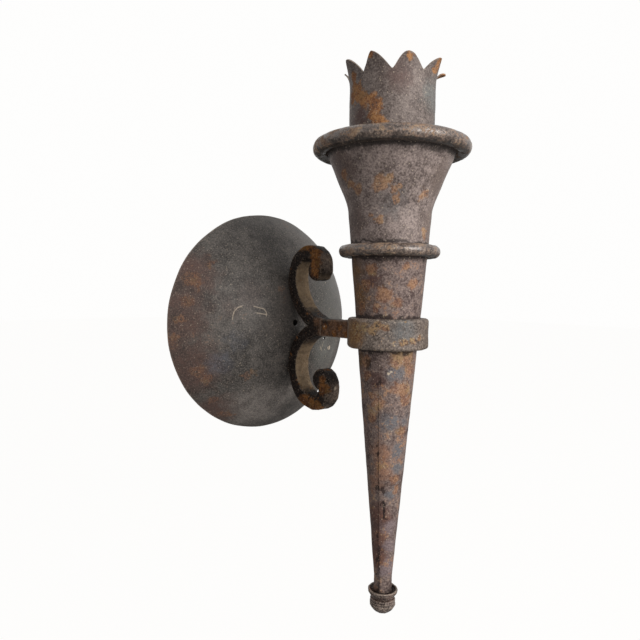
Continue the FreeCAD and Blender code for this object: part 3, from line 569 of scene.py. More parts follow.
# The tan front faces of the fork are partly its own colour and partly painted light on the faces
# turned to the lamp.
FORK_IRON = Iron("fork_iron", tint(9, 6, 5), tint(40, 30, 26), rust=tint(88, 54, 32),
    ember=tint(140, 94, 50), straw=tint(116, 84, 44), spread=0.66, blotch=9, relief=0.35,
    roughness=0.62, metallic=0, shine=0.12, specks=0.3, wear=0.35, contrast=0.3, seed=5,
    front=tint(152, 130, 104), cover=0.85, solid=0.8,
    rusted=((-8.2, -72, 79, 9), (-8.2, -82, 76, 7), (-8.2, -91.5, 67, 7.5), (-8.3, -92, 58.2, 8),
        (-8.2, -91, 51, 6.5), (-8.2, -105, -55.9, 7), (-8.2, -103, -48, 4.5),
        (-8.2, -87.9, -72.7, 8), (-8.3, -78.2, -71.3, 8), (-8.2, -98, -74, 6),
        (-8.3, -118, -4, 3.5), (-8.3, -105, 1, 3.5), (-8.3, -126, 2, 3.5), (-8.3, -134, -4, 4)),
    rubbed=((-8.3, -104, 1.5, 0.8), (2, -110, -56, 2)),
    zones=(Zone(tint(112, 82, 62), 1, ((-8.3, -125, 0, 18), (-8.3, -104, -4, 9),
              (-8.3, -96, 6, 7))),
           Zone(tint(136, 120, 108), 1, ((2, -104, 62, 13), (2, -116, -62, 14),
              (-2, -104, -80, 10)))))
COLLAR_IRON = Iron("collar_iron", tint(70, 61, 56), tint(134, 122, 114), ember=tint(156, 126, 88),
    straw=tint(164, 142, 104), spread=0.66, blotch=9, grain=1.4, grit=0.5, shine=0.2, wear=0.3,
    seed=9, contrast=0.52, solid=0.2, stretch=(1, 1, 1.8),
    rusted=((-33, -170.5, 5.5, 6), (-33.3, -173.2, -1.9, 5), (-31.1, -187.6, 4.1, 5),
        (-29.1, -191.9, 7.2, 5), (-26, -196.5, 6, 4), (-32.8, -181.6, 6.1, 5),
        (-13.5, -205.5, -5.2, 4), (-6.2, -208, -4.3, 4), (0.5, -208.9, -3, 3)),
    zones=(Zone(tint(122, 90, 56), 1, ((-32, -168, 0, 15),)),
           Zone(tint(92, 92, 92), 0.9, ((-14, -205, 4, 13),)),
           Zone(tint(92, 80, 72), 1, ((20, -200, 0, 24),))))
TORCH_IRON = Iron("torch_iron", tint(68, 54, 52), tint(136, 120, 114), rust=tint(112, 76, 58),
    ember=tint(154, 114, 82), straw=tint(156, 128, 88), spread=0.63, blotch=15, grit=0.45,
    grain=1.4, shine=0.2, seed=13, wear=0.15, cover=0.7, contrast=0.36, solid=0.5,
    # painted shade under the neck ring, at both edges of the collar and at the finial cup
    painted_shade_belts=((61.5, 3), (13, 2.2), (-13.5, 2.2), (-219, 5)),
    # painted shadow of the lap's edge down the cone
    seam_shadow_lines=(((-10.3, -184.5, -137.3), (-9.6, -184.1, -151)), ((-9.6, -179.6, -176),
        (-9.3, -179, -189), (-8.1, -178.4, -215))),
    rusted=((-29.2, -182.4, 50.8, 6), (-28.9, -177.9, 39.1, 5.5), (-23.5, -191.4, 31.4, 8),
        (-15.3, -198.7, 25.3, 5), (-3.3, -204.3, 39.5, 6), (-27.2, -172.2, 20.6, 6),
        (-25.7, -185.1, 21.1, 4), (-11.9, -203.2, 52.6, 4), (-10.5, -196.8, -18.5, 8),
        (-1.6, -199.4, -18.7, 8), (0.9, -198.6, -28.6, 7), (-23.5, -174.2, -22.9, 6),
        (-22.6, -174.7, -33.5, 5), (-2.8, -197, -44.6, 8), (-8, -195.3, -44, 6),
        (0.3, -196.6, -53.5, 6), (-21, -179.1, -49.3, 5), (-19.1, -183.1, -57, 7),
        (-19.9, -177.2, -66.4, 6), (-0.9, -194.1, -79.6, 6), (-3.3, -189.5, -118, 5),
        (-1.4, -189.5, -128, 4)),
    # down the lap seam these spots are painted shade in its notch; the others are plain dark
    # patches
    dark_spots_and_shade=((-13.2, -181.4, -127, 3.6), (-11.4, -184.2, -127.7, 3), (-10.1, -184.4, -139.9, 1.8),
        (-9.6, -184.1, -144.9, 1.8), (-9.7, -183.2, -151, 1.5), (-15.2, -182.5, -99, 2.2),
        (-16.2, -181.5, -90.5, 2), (-10.5, -178.7, -167.4, 2.2), (-8.9, -176.7, -189.8, 2.5),
        (-7.8, -176, -203.2, 2), (-23.4, -178.5, -24.5, 4), (-23, -186, -38, 4)),
    # the first spot is a painted glint on the cone
    rubbed=((-15.2, -192.5, -30.4, 1.5), (-7.8, -180.6, -193.4, 0.8)),
    zones=(Zone(tint(100, 74, 48), 1, ((-31, -166, 30, 17), (-30, -164, 50, 14),
              (-24, -165, -22, 9))),
           Zone(tint(78, 54, 50), 1, ((-26, -185, 44, 8), (-21, -184, -38, 9),
              (-12, -179, -155, 12), (-10, -178, -180, 12))),
           # grey-blue patches down the cone's front: partly the iron's own colour, partly painted
           # sheen on the side turned to the lamp
           Zone(tint(98, 98, 102), 1, ((-11, -195.4, -31, 8), (-12.4, -190.5, -71, 9),
              (-3, -193.5, -94, 8), (-0.5, -191.6, -109, 7), (-6, -188.2, -131, 6),
              (2, -198, -70, 7))),
           Zone(tint(136, 102, 84), 1, ((-15, -182.5, -96, 11), (-12.5, -184.5, -113, 10),
              (-13, -178, -122, 9))),
           Zone(tint(104, 74, 64), 1, ((-12.5, -179, -148, 11), (-10, -178, -168, 10),
              (-9, -177, -190, 10))),
           # painted highlight: lavender-grey low on the cone's front
           Zone(tint(122, 108, 110), 1, ((-4, -185, -160, 8), (-2, -184, -178, 8),
              (-1, -183, -196, 9)))))
HEAD_IRON = Iron("head_iron", tint(82, 71, 68), tint(144, 130, 125), rust=tint(130, 92, 66),
    ember=tint(164, 126, 92), straw=tint(158, 128, 94), spread=0.76, blotch=18, grit=0.45,
    grain=1.5, shine=0.25, seed=17, wear=0.2, cover=0.72, contrast=0.5, solid=0.4,
    # painted shade under the rim ring and above the neck ring
    painted_shade_belts=((144.5, 4), (72.6, 1.8)),
    rusted=((-42.5, -165, 124.9, 5.5), (-40.1, -171.8, 116.7, 5), (-38.6, -175.9, 112.5, 5),
        (-33.8, -196.8, 115.9, 6), (-34.5, -193.4, 113.3, 5.5), (-32.7, -200.8, 119.3, 5.5),
        (-25.6, -204.6, 113, 4.5), (-22.5, -203, 105.3, 4), (-2.2, -212.4, 108.8, 5),
        (-32.4, -185.4, 94.6, 2.6), (-29.5, -191.3, 89, 4.4), (4.4, -207.9, 81.2, 5)),
    zones=(Zone(tint(90, 72, 66), 0.8, ((-46, -165, 130, 18), (-33, -168, 90, 14))),
           Zone(tint(100, 98, 98), 0.6, ((-26, -200, 100, 12), (-22, -205, 108, 8))),
           Zone(tint(104, 90, 84), 0.8, ((12, -216, 122, 16), (14, -206, 90, 16)))))
RING_IRON = Iron("ring_iron", tint(48, 36, 31), tint(128, 111, 101), rust=tint(100, 70, 48),
    ember=tint(142, 110, 78), straw=tint(150, 125, 90), spread=0.59, blotch=12, grain=1.5, grit=0.4,
    roughness=0.34, shine=0.75, specks=0.4, contrast=0.5, wear=0.32, seed=21, cover=0.6,
    stretch=(1, 1, 2.6),
    # painted shade on the rings' undersides where they meet the torch
    painted_shade_belts=((143, 3), (61.3, 2.2)))
CROWN_IRON = Iron("crown_iron", tint(78, 68, 65), tint(126, 115, 110), rust=tint(134, 88, 54),
    ember=tint(176, 124, 74), straw=tint(158, 120, 76), spread=0.77, blotch=13, grit=0.45,
    grain=1.3, shine=0.22, seed=25, contrast=0.45, solid=0.5,
    # painted shade where the rim ring meets the crown
    painted_shade_belts=((155.5, 3.4),),
    rusted=((-34, -163, 188, 7), (-33.9, -165, 197, 5), (-33, -164.8, 201.2, 5),
        (-33.9, -168.1, 193.5, 6), (-34.6, -172.5, 186, 8), (-34.5, -178, 181, 6),
        (-33.3, -185.2, 182.4, 6), (-32.5, -187.7, 176, 6), (-33.2, -185.4, 169.4, 6),
        (-31.5, -189.7, 164.4, 6), (-28.5, -194.7, 160.4, 4), (-16.6, -207.9, 212.6, 4),
        (11.7, -210.8, 213.5, 5), (15.7, -209.8, 208.5, 4), (9, -210, 206.5, 3.5),
        (34, -196.8, 210, 7), (-36.1, -186.1, 214.1, 4)),
    zones=(Zone(tint(92, 74, 70), 0.8, ((-22, -203, 198, 14), (-34, -170, 170, 10))),
           Zone(tint(80, 58, 54), 1, ((-34.7, -174, 171, 5), (-34, -178, 164, 5))),
           Zone(tint(88, 82, 79), 1, ((26, -200, 185, 30),)),
           Zone(tint(112, 114, 112), 0.7, ((8, -209, 186, 14),))))
FINIAL_IRON = Iron("finial_iron", tint(36, 27, 25), tint(120, 108, 102), rust=tint(104, 50, 34),
    ember=tint(128, 72, 48), straw=tint(140, 120, 100), spread=0.66, blotch=6, grain=1.3, grit=0.8,
    contrast=0.75, shine=0.4, roughness=0.5, seed=29,
    rusted=((-2, -180, -218.5, 7), (-7, -171, -219, 6)),
    zones=(Zone(tint(66, 32, 26), 1, ((0, -176, -219.5, 12.5),)),))
PAN_IRON = Iron("pan_iron", tint(58, 50, 46), tint(108, 98, 90), spread=0.66, blotch=15, seed=33)
HANGER_STEEL = Metal("hanger_steel", tint(62, 60, 58), tint(40, 38, 36), 0.5)
ZINC_STEEL = Metal("zinc_steel", tint(172, 172, 168), tint(140, 138, 132), 0.35)
SOCKET_BRASS = Metal("socket_brass", tint(198, 160, 92), tint(158, 120, 66), 0.28)
PORCELAIN = Coated("porcelain", tint(236, 232, 222), tint(212, 205, 190), 0.15)
GROUND_PAINT = Coated("ground_paint", tint(38, 120, 60), tint(30, 92, 48), 0.35)


# ---- making pieces
def sweep(mesh: bmesh.types.BMesh, parts: Sequence[Any], centre: Point, axis: Point, angle: float,
          steps: int, closed: bool = False) -> List[Any]:
    """Sweep parts of a mesh round an axis.

    Args:
        mesh: The mesh.
        parts: Its vertices, edges and faces that are swept.
        centre: A point of the axis.
        axis: Its direction.
        angle: How far, in radians.
        steps: Number of facets.
        closed: Whether a full turn meets its start.

    Returns:
        The last copies of the parts.
    """
    return bmesh.ops.spin(mesh, geom=parts, cent=centre, axis=axis, angle=angle, steps=steps,
                          use_merge=closed)["geom_last"]


def verts_of(parts: Sequence[Any]) -> List[Any]:
    """Pick the vertices out of some parts of a mesh."""
    return [part for part in parts if isinstance(part, bmesh.types.BMVert)]


def round_off(mesh: bmesh.types.BMesh, parts: Sequence[Any], offset: float, segments: int = 3,
              kind: str = "EDGES") -> None:
    """Round some edges or corners off.

    Args:
        mesh: The mesh.
        parts: Its edges or vertices.
        offset: Where the rounding starts, from the edge.
        segments: Facets across it.
        kind: EDGES or VERTICES.
    """
    bmesh.ops.bevel(mesh, geom=parts, affect=kind, offset=offset, segments=segments, profile=0.5,
                    material=-1)


def place_object(name: str, data: Any) -> bpy.types.Object:
    """Put some data in a new object in the scene."""
    made = bpy.data.objects.new(name, data)
    bpy.context.scene.collection.objects.link(made)
    return made


class Outline:
    """A line of vertices in the plane of radius and height, drawn with lines and arcs."""

    def __init__(self, mesh: bmesh.types.BMesh, start: Tuple[float, float]) -> None:
        """Set the first vertex.

        Args:
            mesh: The mesh to draw in.
            start: Radius and height.
        """
        self.mesh = mesh
        self.first = mesh.verts.new((start[0], 0.0, start[1]))
        self.last = self.first

    def line(self, point: Tuple[float, float], steps: int = 1) -> "Outline":
        """Draw a straight line, divided into equal steps.

        Args:
            point: Radius and height of its end.
            steps: Number of edges.

        Returns:
            The outline itself.
        """
        start = self.last.co.copy()
        end = Vector((point[0], 0.0, point[1]))
        for number in range(1, steps + 1):
            made = bmesh.ops.extrude_vert_indiv(self.mesh, verts=[self.last])
            self.last = made["verts"][0]
            self.last.co = start.lerp(end, number / steps)
        return self

    def arc(self, centre: Tuple[float, float], degrees: float, steps: int = 8) -> "Outline":
        """Draw an arc, anticlockwise for positive degrees with radius right and height up.

        Args:
            centre: Radius and height of its centre.
            degrees: How far it turns.
            steps: Number of edges.

        Returns:
            The outline itself.
        """
        made = sweep(self.mesh, [self.last], (centre[0], 0.0, centre[1]), (0.0, 1.0, 0.0),
                     -math.radians(degrees), steps)
        self.last = verts_of(made)[0]
        return self

    def close(self) -> None:
        """Join the end to the start."""
        self.mesh.edges.new((self.last, self.first))


def turn(mesh: bmesh.types.BMesh, steps: int) -> None:
    """Turn all that is drawn about the upright axis into a closed piece.

    Args:
        mesh: The mesh with its outline.
        steps: Number of facets round the axis.
    """
    sweep(mesh, mesh.verts[:] + mesh.edges[:], (0.0, 0.0, 0.0), (0.0, 0.0, 1.0), math.tau, steps,
          True)
    bmesh.ops.remove_doubles(mesh, verts=mesh.verts[:], dist=0.001)
    bmesh.ops.recalc_face_normals(mesh, faces=mesh.faces[:])


@dataclass
class Piece:
    """A mesh in millimetres on its way to becoming a piece of the sconce."""

    name: str
    mesh: bmesh.types.BMesh = field(default_factory=bmesh.new)

    def move(self, offset: Point) -> "Piece":
        """Shift the whole mesh by some millimetres."""
        bmesh.ops.translate(self.mesh, verts=self.mesh.verts[:], vec=offset)
        return self

    def rotate(self, degrees: float, axis: str) -> "Piece":
        """Turn the mesh by some degrees about the axis X, Y or Z."""
        bmesh.ops.rotate(self.mesh, verts=self.mesh.verts[:], cent=(0.0, 0.0, 0.0),
                         matrix=Matrix.Rotation(math.radians(degrees), 3, axis))
        return self

    def join(self, other: "Piece") -> "Piece":
        """Take another piece's mesh in, which uses that piece up.

        Args:
            other: The other piece.

        Returns:
            The piece itself.
        """
        data = bpy.data.meshes.new("part")
        other.mesh.to_mesh(data)
        other.mesh.free()
        self.mesh.from_mesh(data)
        bpy.data.meshes.remove(data)
        return self

    def to_object(self) -> bpy.types.Object:
        """Put the mesh in a new object, which uses it up.

        Returns:
            The object.
        """
        data = bpy.data.meshes.new(self.name)
        self.mesh.to_mesh(data)
        self.mesh.free()
        return place_object(self.name, data)

    def through(self, kinds: Sequence[Tuple[str, Mapping[str, Any]]]) -> "Piece":
        """Send the mesh through some modifiers.

        Args:
            kinds: Each modifier's type and settings.

        Returns:
            The piece itself.
        """
        made = self.to_object()
        for kind, settings in kinds:
            modifier = made.modifiers.new(kind, kind)
            for name, setting in settings.items():
                setattr(modifier, name, setting)
        bpy.context.view_layer.update()
        graph = bpy.context.evaluated_depsgraph_get()
        self.mesh = bmesh.new()
        self.mesh.from_mesh(made.evaluated_get(graph).data)
        bpy.data.objects.remove(made)
        return self

    def cut(self, tool: "Piece") -> "Piece":
        """Cut another piece out of this one.

        Args:
            tool: The piece that is cut out.

        Returns:
            The piece itself.
        """
        other = tool.to_object()
        self.through([("BOOLEAN", {"operation": "DIFFERENCE", "solver": "EXACT",
                                   "object": other})])
        bpy.data.objects.remove(other)
        return self

    def melt(self, voxel: float, rounds: int) -> "Piece":
        """Melt overlapping parts into one skin on a grid, then smooth it for some rounds."""
        return self.through([("REMESH", {"mode": "VOXEL", "voxel_size": voxel}),
                             ("SMOOTH", {"factor": 0.5, "iterations": rounds})])

    def hammer(self, depth: float, size: float) -> "Piece":
        """Dent the surface as a hammer leaves it, with the piece's own pattern.

        Args:
            depth: Largest dent in millimetres.
            size: Size of a dent in millimetres.

        Returns:
            The piece itself.
        """
        self.mesh.normal_update()
        seed = len(self.name) * 1.3
        shift = Vector((seed, seed * 1.7, seed * 0.3))
        moves = [noise.fractal(vert.co / size + shift, 1.0, 2.0, 3) for vert in self.mesh.verts]
        for vert, move in zip(self.mesh.verts, moves):
            vert.co += vert.normal * (depth * (max(-1.0, min(1.0, move)) - 0.4))
        return self

    def mark(self, name: str, rule: Callable[[Any], float]) -> "Piece":
        """Paint a value on every vertex.

        Args:
            name: The attribute's name.
            rule: Gives the value for a vertex.

        Returns:
            The piece itself.
        """
        self.mesh.normal_update()
        layer = self.mesh.verts.layers.float.new(name)
        for vert in self.mesh.verts:
            vert[layer] = rule(vert)
        return self

    def wear(self, mild: float = 0.10, hard: float = 0.32) -> "Piece":
        """Paint how much each vertex stands out, so that edges can look worn.

        Args:
            mild: Curvature, per millimetre, at which wear starts.
            hard: Curvature at which it is full.

        Returns:
            The piece itself.
        """
        def bent(vert: Any) -> float:
            """Share of wear at a vertex."""
            drops = []
            for edge in vert.link_edges:
                away = edge.other_vert(vert).co - vert.co
                length = max(away.length, 0.05)
                drops.append(-2.0 * away.dot(vert.normal) / length ** 2)
            return ease(sum(drops) / max(1, len(drops)), mild, hard)

        return self.mark("wear", bent)

    def seat(self, finish: bpy.types.Material, slot: str, nodes: Sequence[str],
             sharp: float = 40.0) -> None:
        """Bring the mesh to metres, make the object and seat it on the frame.

        Args:
            finish: The material.
            slot: The record's material slot; not used.
            nodes: CAD nodes that it stands for.
            sharp: Edges sharper than this many degrees stay hard.
        """
        if "wear" not in self.mesh.verts.layers.float:
            self.wear()
        bmesh.ops.scale(self.mesh, verts=self.mesh.verts[:], vec=(MM, MM, MM))
        made = self.to_object()
        made.data.materials.append(finish)
        for face in made.data.polygons:
            face.use_smooth = True
            face.material_index = 0
        made.data.set_sharp_from_angle(angle=math.radians(sharp))
        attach(made, BODY)
        if nodes:
            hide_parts(*nodes)
        LOG.info("%s: %d faces", self.name, len(made.data.polygons))


def carry(node: str, finish: bpy.types.Material, slot: str) -> None:
    """Take a CAD node over as a merged copy with smooth shading.

    Args:
        node: The node's name.
        finish: The material.
        slot: The record's material slot.
    """
    piece = Piece(node + "_shown")
    piece.mesh.from_mesh(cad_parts[node].data)
    bmesh.ops.remove_doubles(piece.mesh, verts=piece.mesh.verts[:], dist=0.000002)
    bmesh.ops.scale(piece.mesh, verts=piece.mesh.verts[:], vec=(1 / MM, 1 / MM, 1 / MM))
    piece.seat(finish, slot, [node], 28.0)


def rod(name: str, radius: float, length: float, segments: int = 40) -> Piece:
    """Make an upright rod about the origin.

    Args:
        name: The piece's name.
        radius: Its radius.
        length: Its length.
        segments: Facets round it.

    Returns:
        The rod.
    """
    made = Piece(name)
    bmesh.ops.create_cone(made.mesh, cap_ends=True, segments=segments, radius1=radius,
                          radius2=radius, depth=length)
    return made


# ---- wall plate
@dataclass
class WallPlate:
    """The domed plate with its two holes, and the bar behind it."""

    radius: float = 111.0
    depth: float = 56.0
    sheet: float = 2.0
    wire_hole: Tuple[float, float, float] = (-2.0, 2.0, 3.25)
    screw_hole: Tuple[float, float, float] = (41.54, -15.95, 1.6)
    rings: int = 40
    facets: int = 144
    rim_wave: float = 0.8
    true_inside: float = 70.0

    def dome(self) -> Piece:
        """Turn the dome from its arc.

        Returns:
            The dome, its crest at the front.
        """
        ball = (self.radius ** 2 + self.depth ** 2) / (2.0 * self.depth)
        centre = (0.0, self.depth - ball)
        half = math.degrees(math.asin(self.radius / ball))
        inner = ball - self.sheet
        inner_half = math.degrees(math.acos((ball - self.depth) / inner))
        piece = Piece("wall_plate")
        line = Outline(piece.mesh, (0.0, self.depth)).arc(centre, -half, self.rings)
        rim = inner * math.sin(math.radians(inner_half))
        line.line((rim, 0.0)).arc(centre, inner_half, self.rings)
        turn(piece.mesh, self.facets)
        for vert in piece.mesh.verts:
            reach = math.hypot(vert.co.x, vert.co.y)
            way = math.atan2(vert.co.y, vert.co.x)
            wave = noise.noise(Vector((math.cos(way) * 2.0, math.sin(way) * 2.0, 3.0))) - 0.6
            edge = ease(reach, self.true_inside, self.radius)
            share = 1.0 + edge * wave * self.rim_wave / self.radius
            vert.co.x *= share
            vert.co.y *= share
        return piece.rotate(90.0, "X")

    def hole(self, place: Tuple[float, float, float]) -> Piece:
        """Make the rod that cuts one hole.

        Args:
            place: Its X, its Z and its radius.

        Returns:
            The rod.
        """
        tool = rod("tool", place[2], 2.0 * self.depth).rotate(90.0, "X")
        return tool.move((place[0], -self.depth, place[1]))

    def build(self) -> None:
        """Make the plate and what is behind it."""
        plate = self.dome().cut(self.hole(self.wire_hole)).cut(self.hole(self.screw_hole))
        plate.hammer(0.35, 26.0).seat(PLATE_IRON.make(), "plate_iron", ["back_plate"])
        carry("hanger_bar", HANGER_STEEL.make(), "hanger_steel")
        carry("ground_screw", GROUND_PAINT.make(), "ground_paint")


# ---- fork
class Side(Enum):
    """Which way a scroll curls."""

    UPPER = 1
    LOWER = -1


@dataclass
class Scroll:
    """One scroll of the fork: a bar bent four times, with a rounded end and a welded foot."""

    side: Side
    bends: Tuple[Tuple[float, float], ...]
    snub: float
    width: float = 17.0
    thick: float = 13.6
    corner: float = 2.6
    end_corner: float = 3.6
    root: float = 100.0
    arm: float = 15.9
    foot_radius: float = 5.0
    foot_height: float = 42.0
    dome_front: float = 48.8
    stem_middle: float = 57.0

    def section(self, piece: Piece) -> List[Any]:
        """Draw the bar's rounded section where it leaves the arm.

        Args:
            piece: The piece that gets it.

        Returns:
            The section's faces and edges.
        """
        verts = bmesh.ops.create_grid(piece.mesh, x_segments=1, y_segments=1, size=0.5)["verts"]
        bmesh.ops.scale(piece.mesh, verts=verts, vec=(self.width, self.thick, 1.0))
        round_off(piece.mesh, verts, self.corner, kind="VERTICES")
        piece.rotate(90.0, "X")
        return piece.mesh.verts[:] + piece.mesh.edges[:] + piece.mesh.faces[:]

    def bar(self, piece: Piece) -> Point:
        """Bend the bar and give the place of its rounded end.

        Args:
            piece: The piece that gets it.

        Returns:
            X, Y and Z of the end's middle.
        """
        geometry = self.section(piece)
        heading = 0.0
        spot = [-self.root, (self.arm - self.thick) / 2.0]
        piece.move((0.0, spot[0], spot[1]))
        for radius, angle in self.bends:
            here = math.radians(heading)
            centre = (spot[0] - radius * math.sin(here), spot[1] + radius * math.cos(here))
            geometry = sweep(piece.mesh, geometry, (0.0,) + centre, (1.0, 0.0, 0.0),
                             math.radians(angle), max(4, int(angle / 5.0)))
            heading += angle
            onward = math.radians(heading)
            spot = [centre[0] + radius * math.sin(onward), centre[1] - radius * math.cos(onward)]
        reach = radius + self.thick / 2.0 - self.snub
        return (0.0, centre[0] + reach * math.sin(onward), centre[1] - reach * math.cos(onward))

    def build(self, finish: bpy.types.Material) -> None:
        """Make the scroll.

        Args:
            finish: The fork's material.
        """
        name = "upper_scroll" if self.side is Side.UPPER else "lower_scroll"
        piece = Piece(name + "_forged")
        middle = self.bar(piece)
        bmesh.ops.recalc_face_normals(piece.mesh, faces=piece.mesh.faces[:])
        end = rod("end", self.snub, self.width, 48)
        rims = [edge for edge in end.mesh.edges
                if abs(edge.verts[0].co.z - edge.verts[1].co.z) < 0.01]
        round_off(end.mesh, rims, self.end_corner, 5)
        piece.join(end.rotate(90.0, "Y").move(middle))
        foot = rod("foot", self.foot_radius, self.stem_middle - self.dome_front)
        half_way = (self.stem_middle + self.dome_front) / 2.0
        piece.join(foot.rotate(90.0, "X").move((0.0, -half_way, self.foot_height)))
        if self.side is Side.LOWER:
            piece.rotate(180.0, "Y")
        piece.melt(0.62, 5).hammer(0.45, 7.0).mark("front", self.facing)
        piece.seat(finish, "fork_iron", [name])

    def facing(self, vert: Any) -> float:
        """Say how far a vertex lies on the stem's face that looks at the torch and the lamp, where
        the tan that is partly painted light goes.

        Args:
            vert: The vertex.

        Returns:
            The share, from 0 to 1.
        """
        height = abs(vert.co.z)
        inner = ease(vert.co.y, -100.0, -93.0) * (1.0 - ease(height, 58.0, 68.0))
        return ease(-vert.normal.y, 0.35, 0.8) * inner * ease(height, 9.0, 20.0)


@dataclass
class Fork:
    """The two scrolls, the arm and the welds between them."""

    root: float = 100.0
    arm_size: float = 15.9
    arm_end: float = 144.0
    arm_corner: float = 1.6
    arm_drops: int = 52
    foot_drops: int = 16
    foot_ring: float = 5.6
    foot_height: float = 42.0
    dome_front: float = -50.0
    scrolls: Tuple[Scroll, ...] = (
        Scroll(Side.UPPER, ((27.0, 16.0), (50.0, 64.0), (24.0, 90.0), (14.0, 116.0)), 10.1),
        Scroll(Side.LOWER, ((45.0, 38.0), (36.0, 82.0), (29.0, 62.0), (15.0, 132.0)), 9.8))

    def arm(self, finish: bpy.types.Material) -> None:
        """Make the square arm.

        Args:
            finish: The fork's material.
        """
        piece = Piece("arm_forged")
        length = self.arm_end - self.root + 2.0
        verts = bmesh.ops.create_cube(piece.mesh, size=1.0)["verts"]
        bmesh.ops.scale(piece.mesh, verts=verts, vec=(self.arm_size, length, self.arm_size))
        edges = [edge for edge in piece.mesh.edges
                 if abs(edge.verts[0].co.y - edge.verts[1].co.y) > 1.0]
        round_off(piece.mesh, edges, self.arm_corner)
        piece.move((0.0, -(self.root + self.arm_end) / 2.0, 0.0))
        piece.melt(0.6, 3).hammer(0.4, 6.0).seat(finish, "fork_iron", ["arm"])

    def welds(self, finish: bpy.types.Material) -> None:
        """Lay the weld beads as rows of small melted drops.

        Args:
            finish: The fork's material.
        """
        piece = Piece("weld_beads")
        half = self.arm_size / 2.0
        rows: List[Tuple[Point, float]] = []
        for number in range(self.arm_drops):
            share = number / self.arm_drops * math.tau
            square = max(abs(math.cos(share)), abs(math.sin(share)))
            across = half * math.cos(share) / square
            up = half * math.sin(share) / square
            lump = 1.0 + 0.5 * noise.noise(Vector((number * 0.9, 2.0, 1.0)))
            rows.append(((across, -(self.arm_end - 1.8 - abs(across) * 0.06), up), 1.7 * lump))
            if abs(up) < half * 0.75:
                rows.append(((across, -(self.root + 4.0 * noise.noise(Vector((number, 0.0, 0.0)))),
                              up), 1.1 * lump))
        for height in (self.foot_height, -self.foot_height):
            for number in range(self.foot_drops):
                share = number / self.foot_drops * math.tau
                out = self.foot_ring * math.sin(share)
                lump = 1.0 + 0.4 * noise.noise(Vector((number * 0.8, height, 4.0)))
                tilt = 0.32 * out * (1.0 if height > 0 else -1.0)
                rows.append(((self.foot_ring * math.cos(share), self.dome_front + tilt,
                              height + out), 1.5 * lump))
        for place, radius in rows:
            drop = bmesh.ops.create_icosphere(piece.mesh, subdivisions=2, radius=radius)["verts"]
            bmesh.ops.translate(piece.mesh, verts=drop, vec=place)
        piece.melt(0.5, 3).hammer(0.2, 2.0).seat(finish, "fork_iron", [])

    def build(self) -> None:
        """Make the whole fork."""
        finish = FORK_IRON.make()
        for scroll in self.scrolls:
            scroll.build(finish)
        self.arm(finish)
        self.welds(finish)


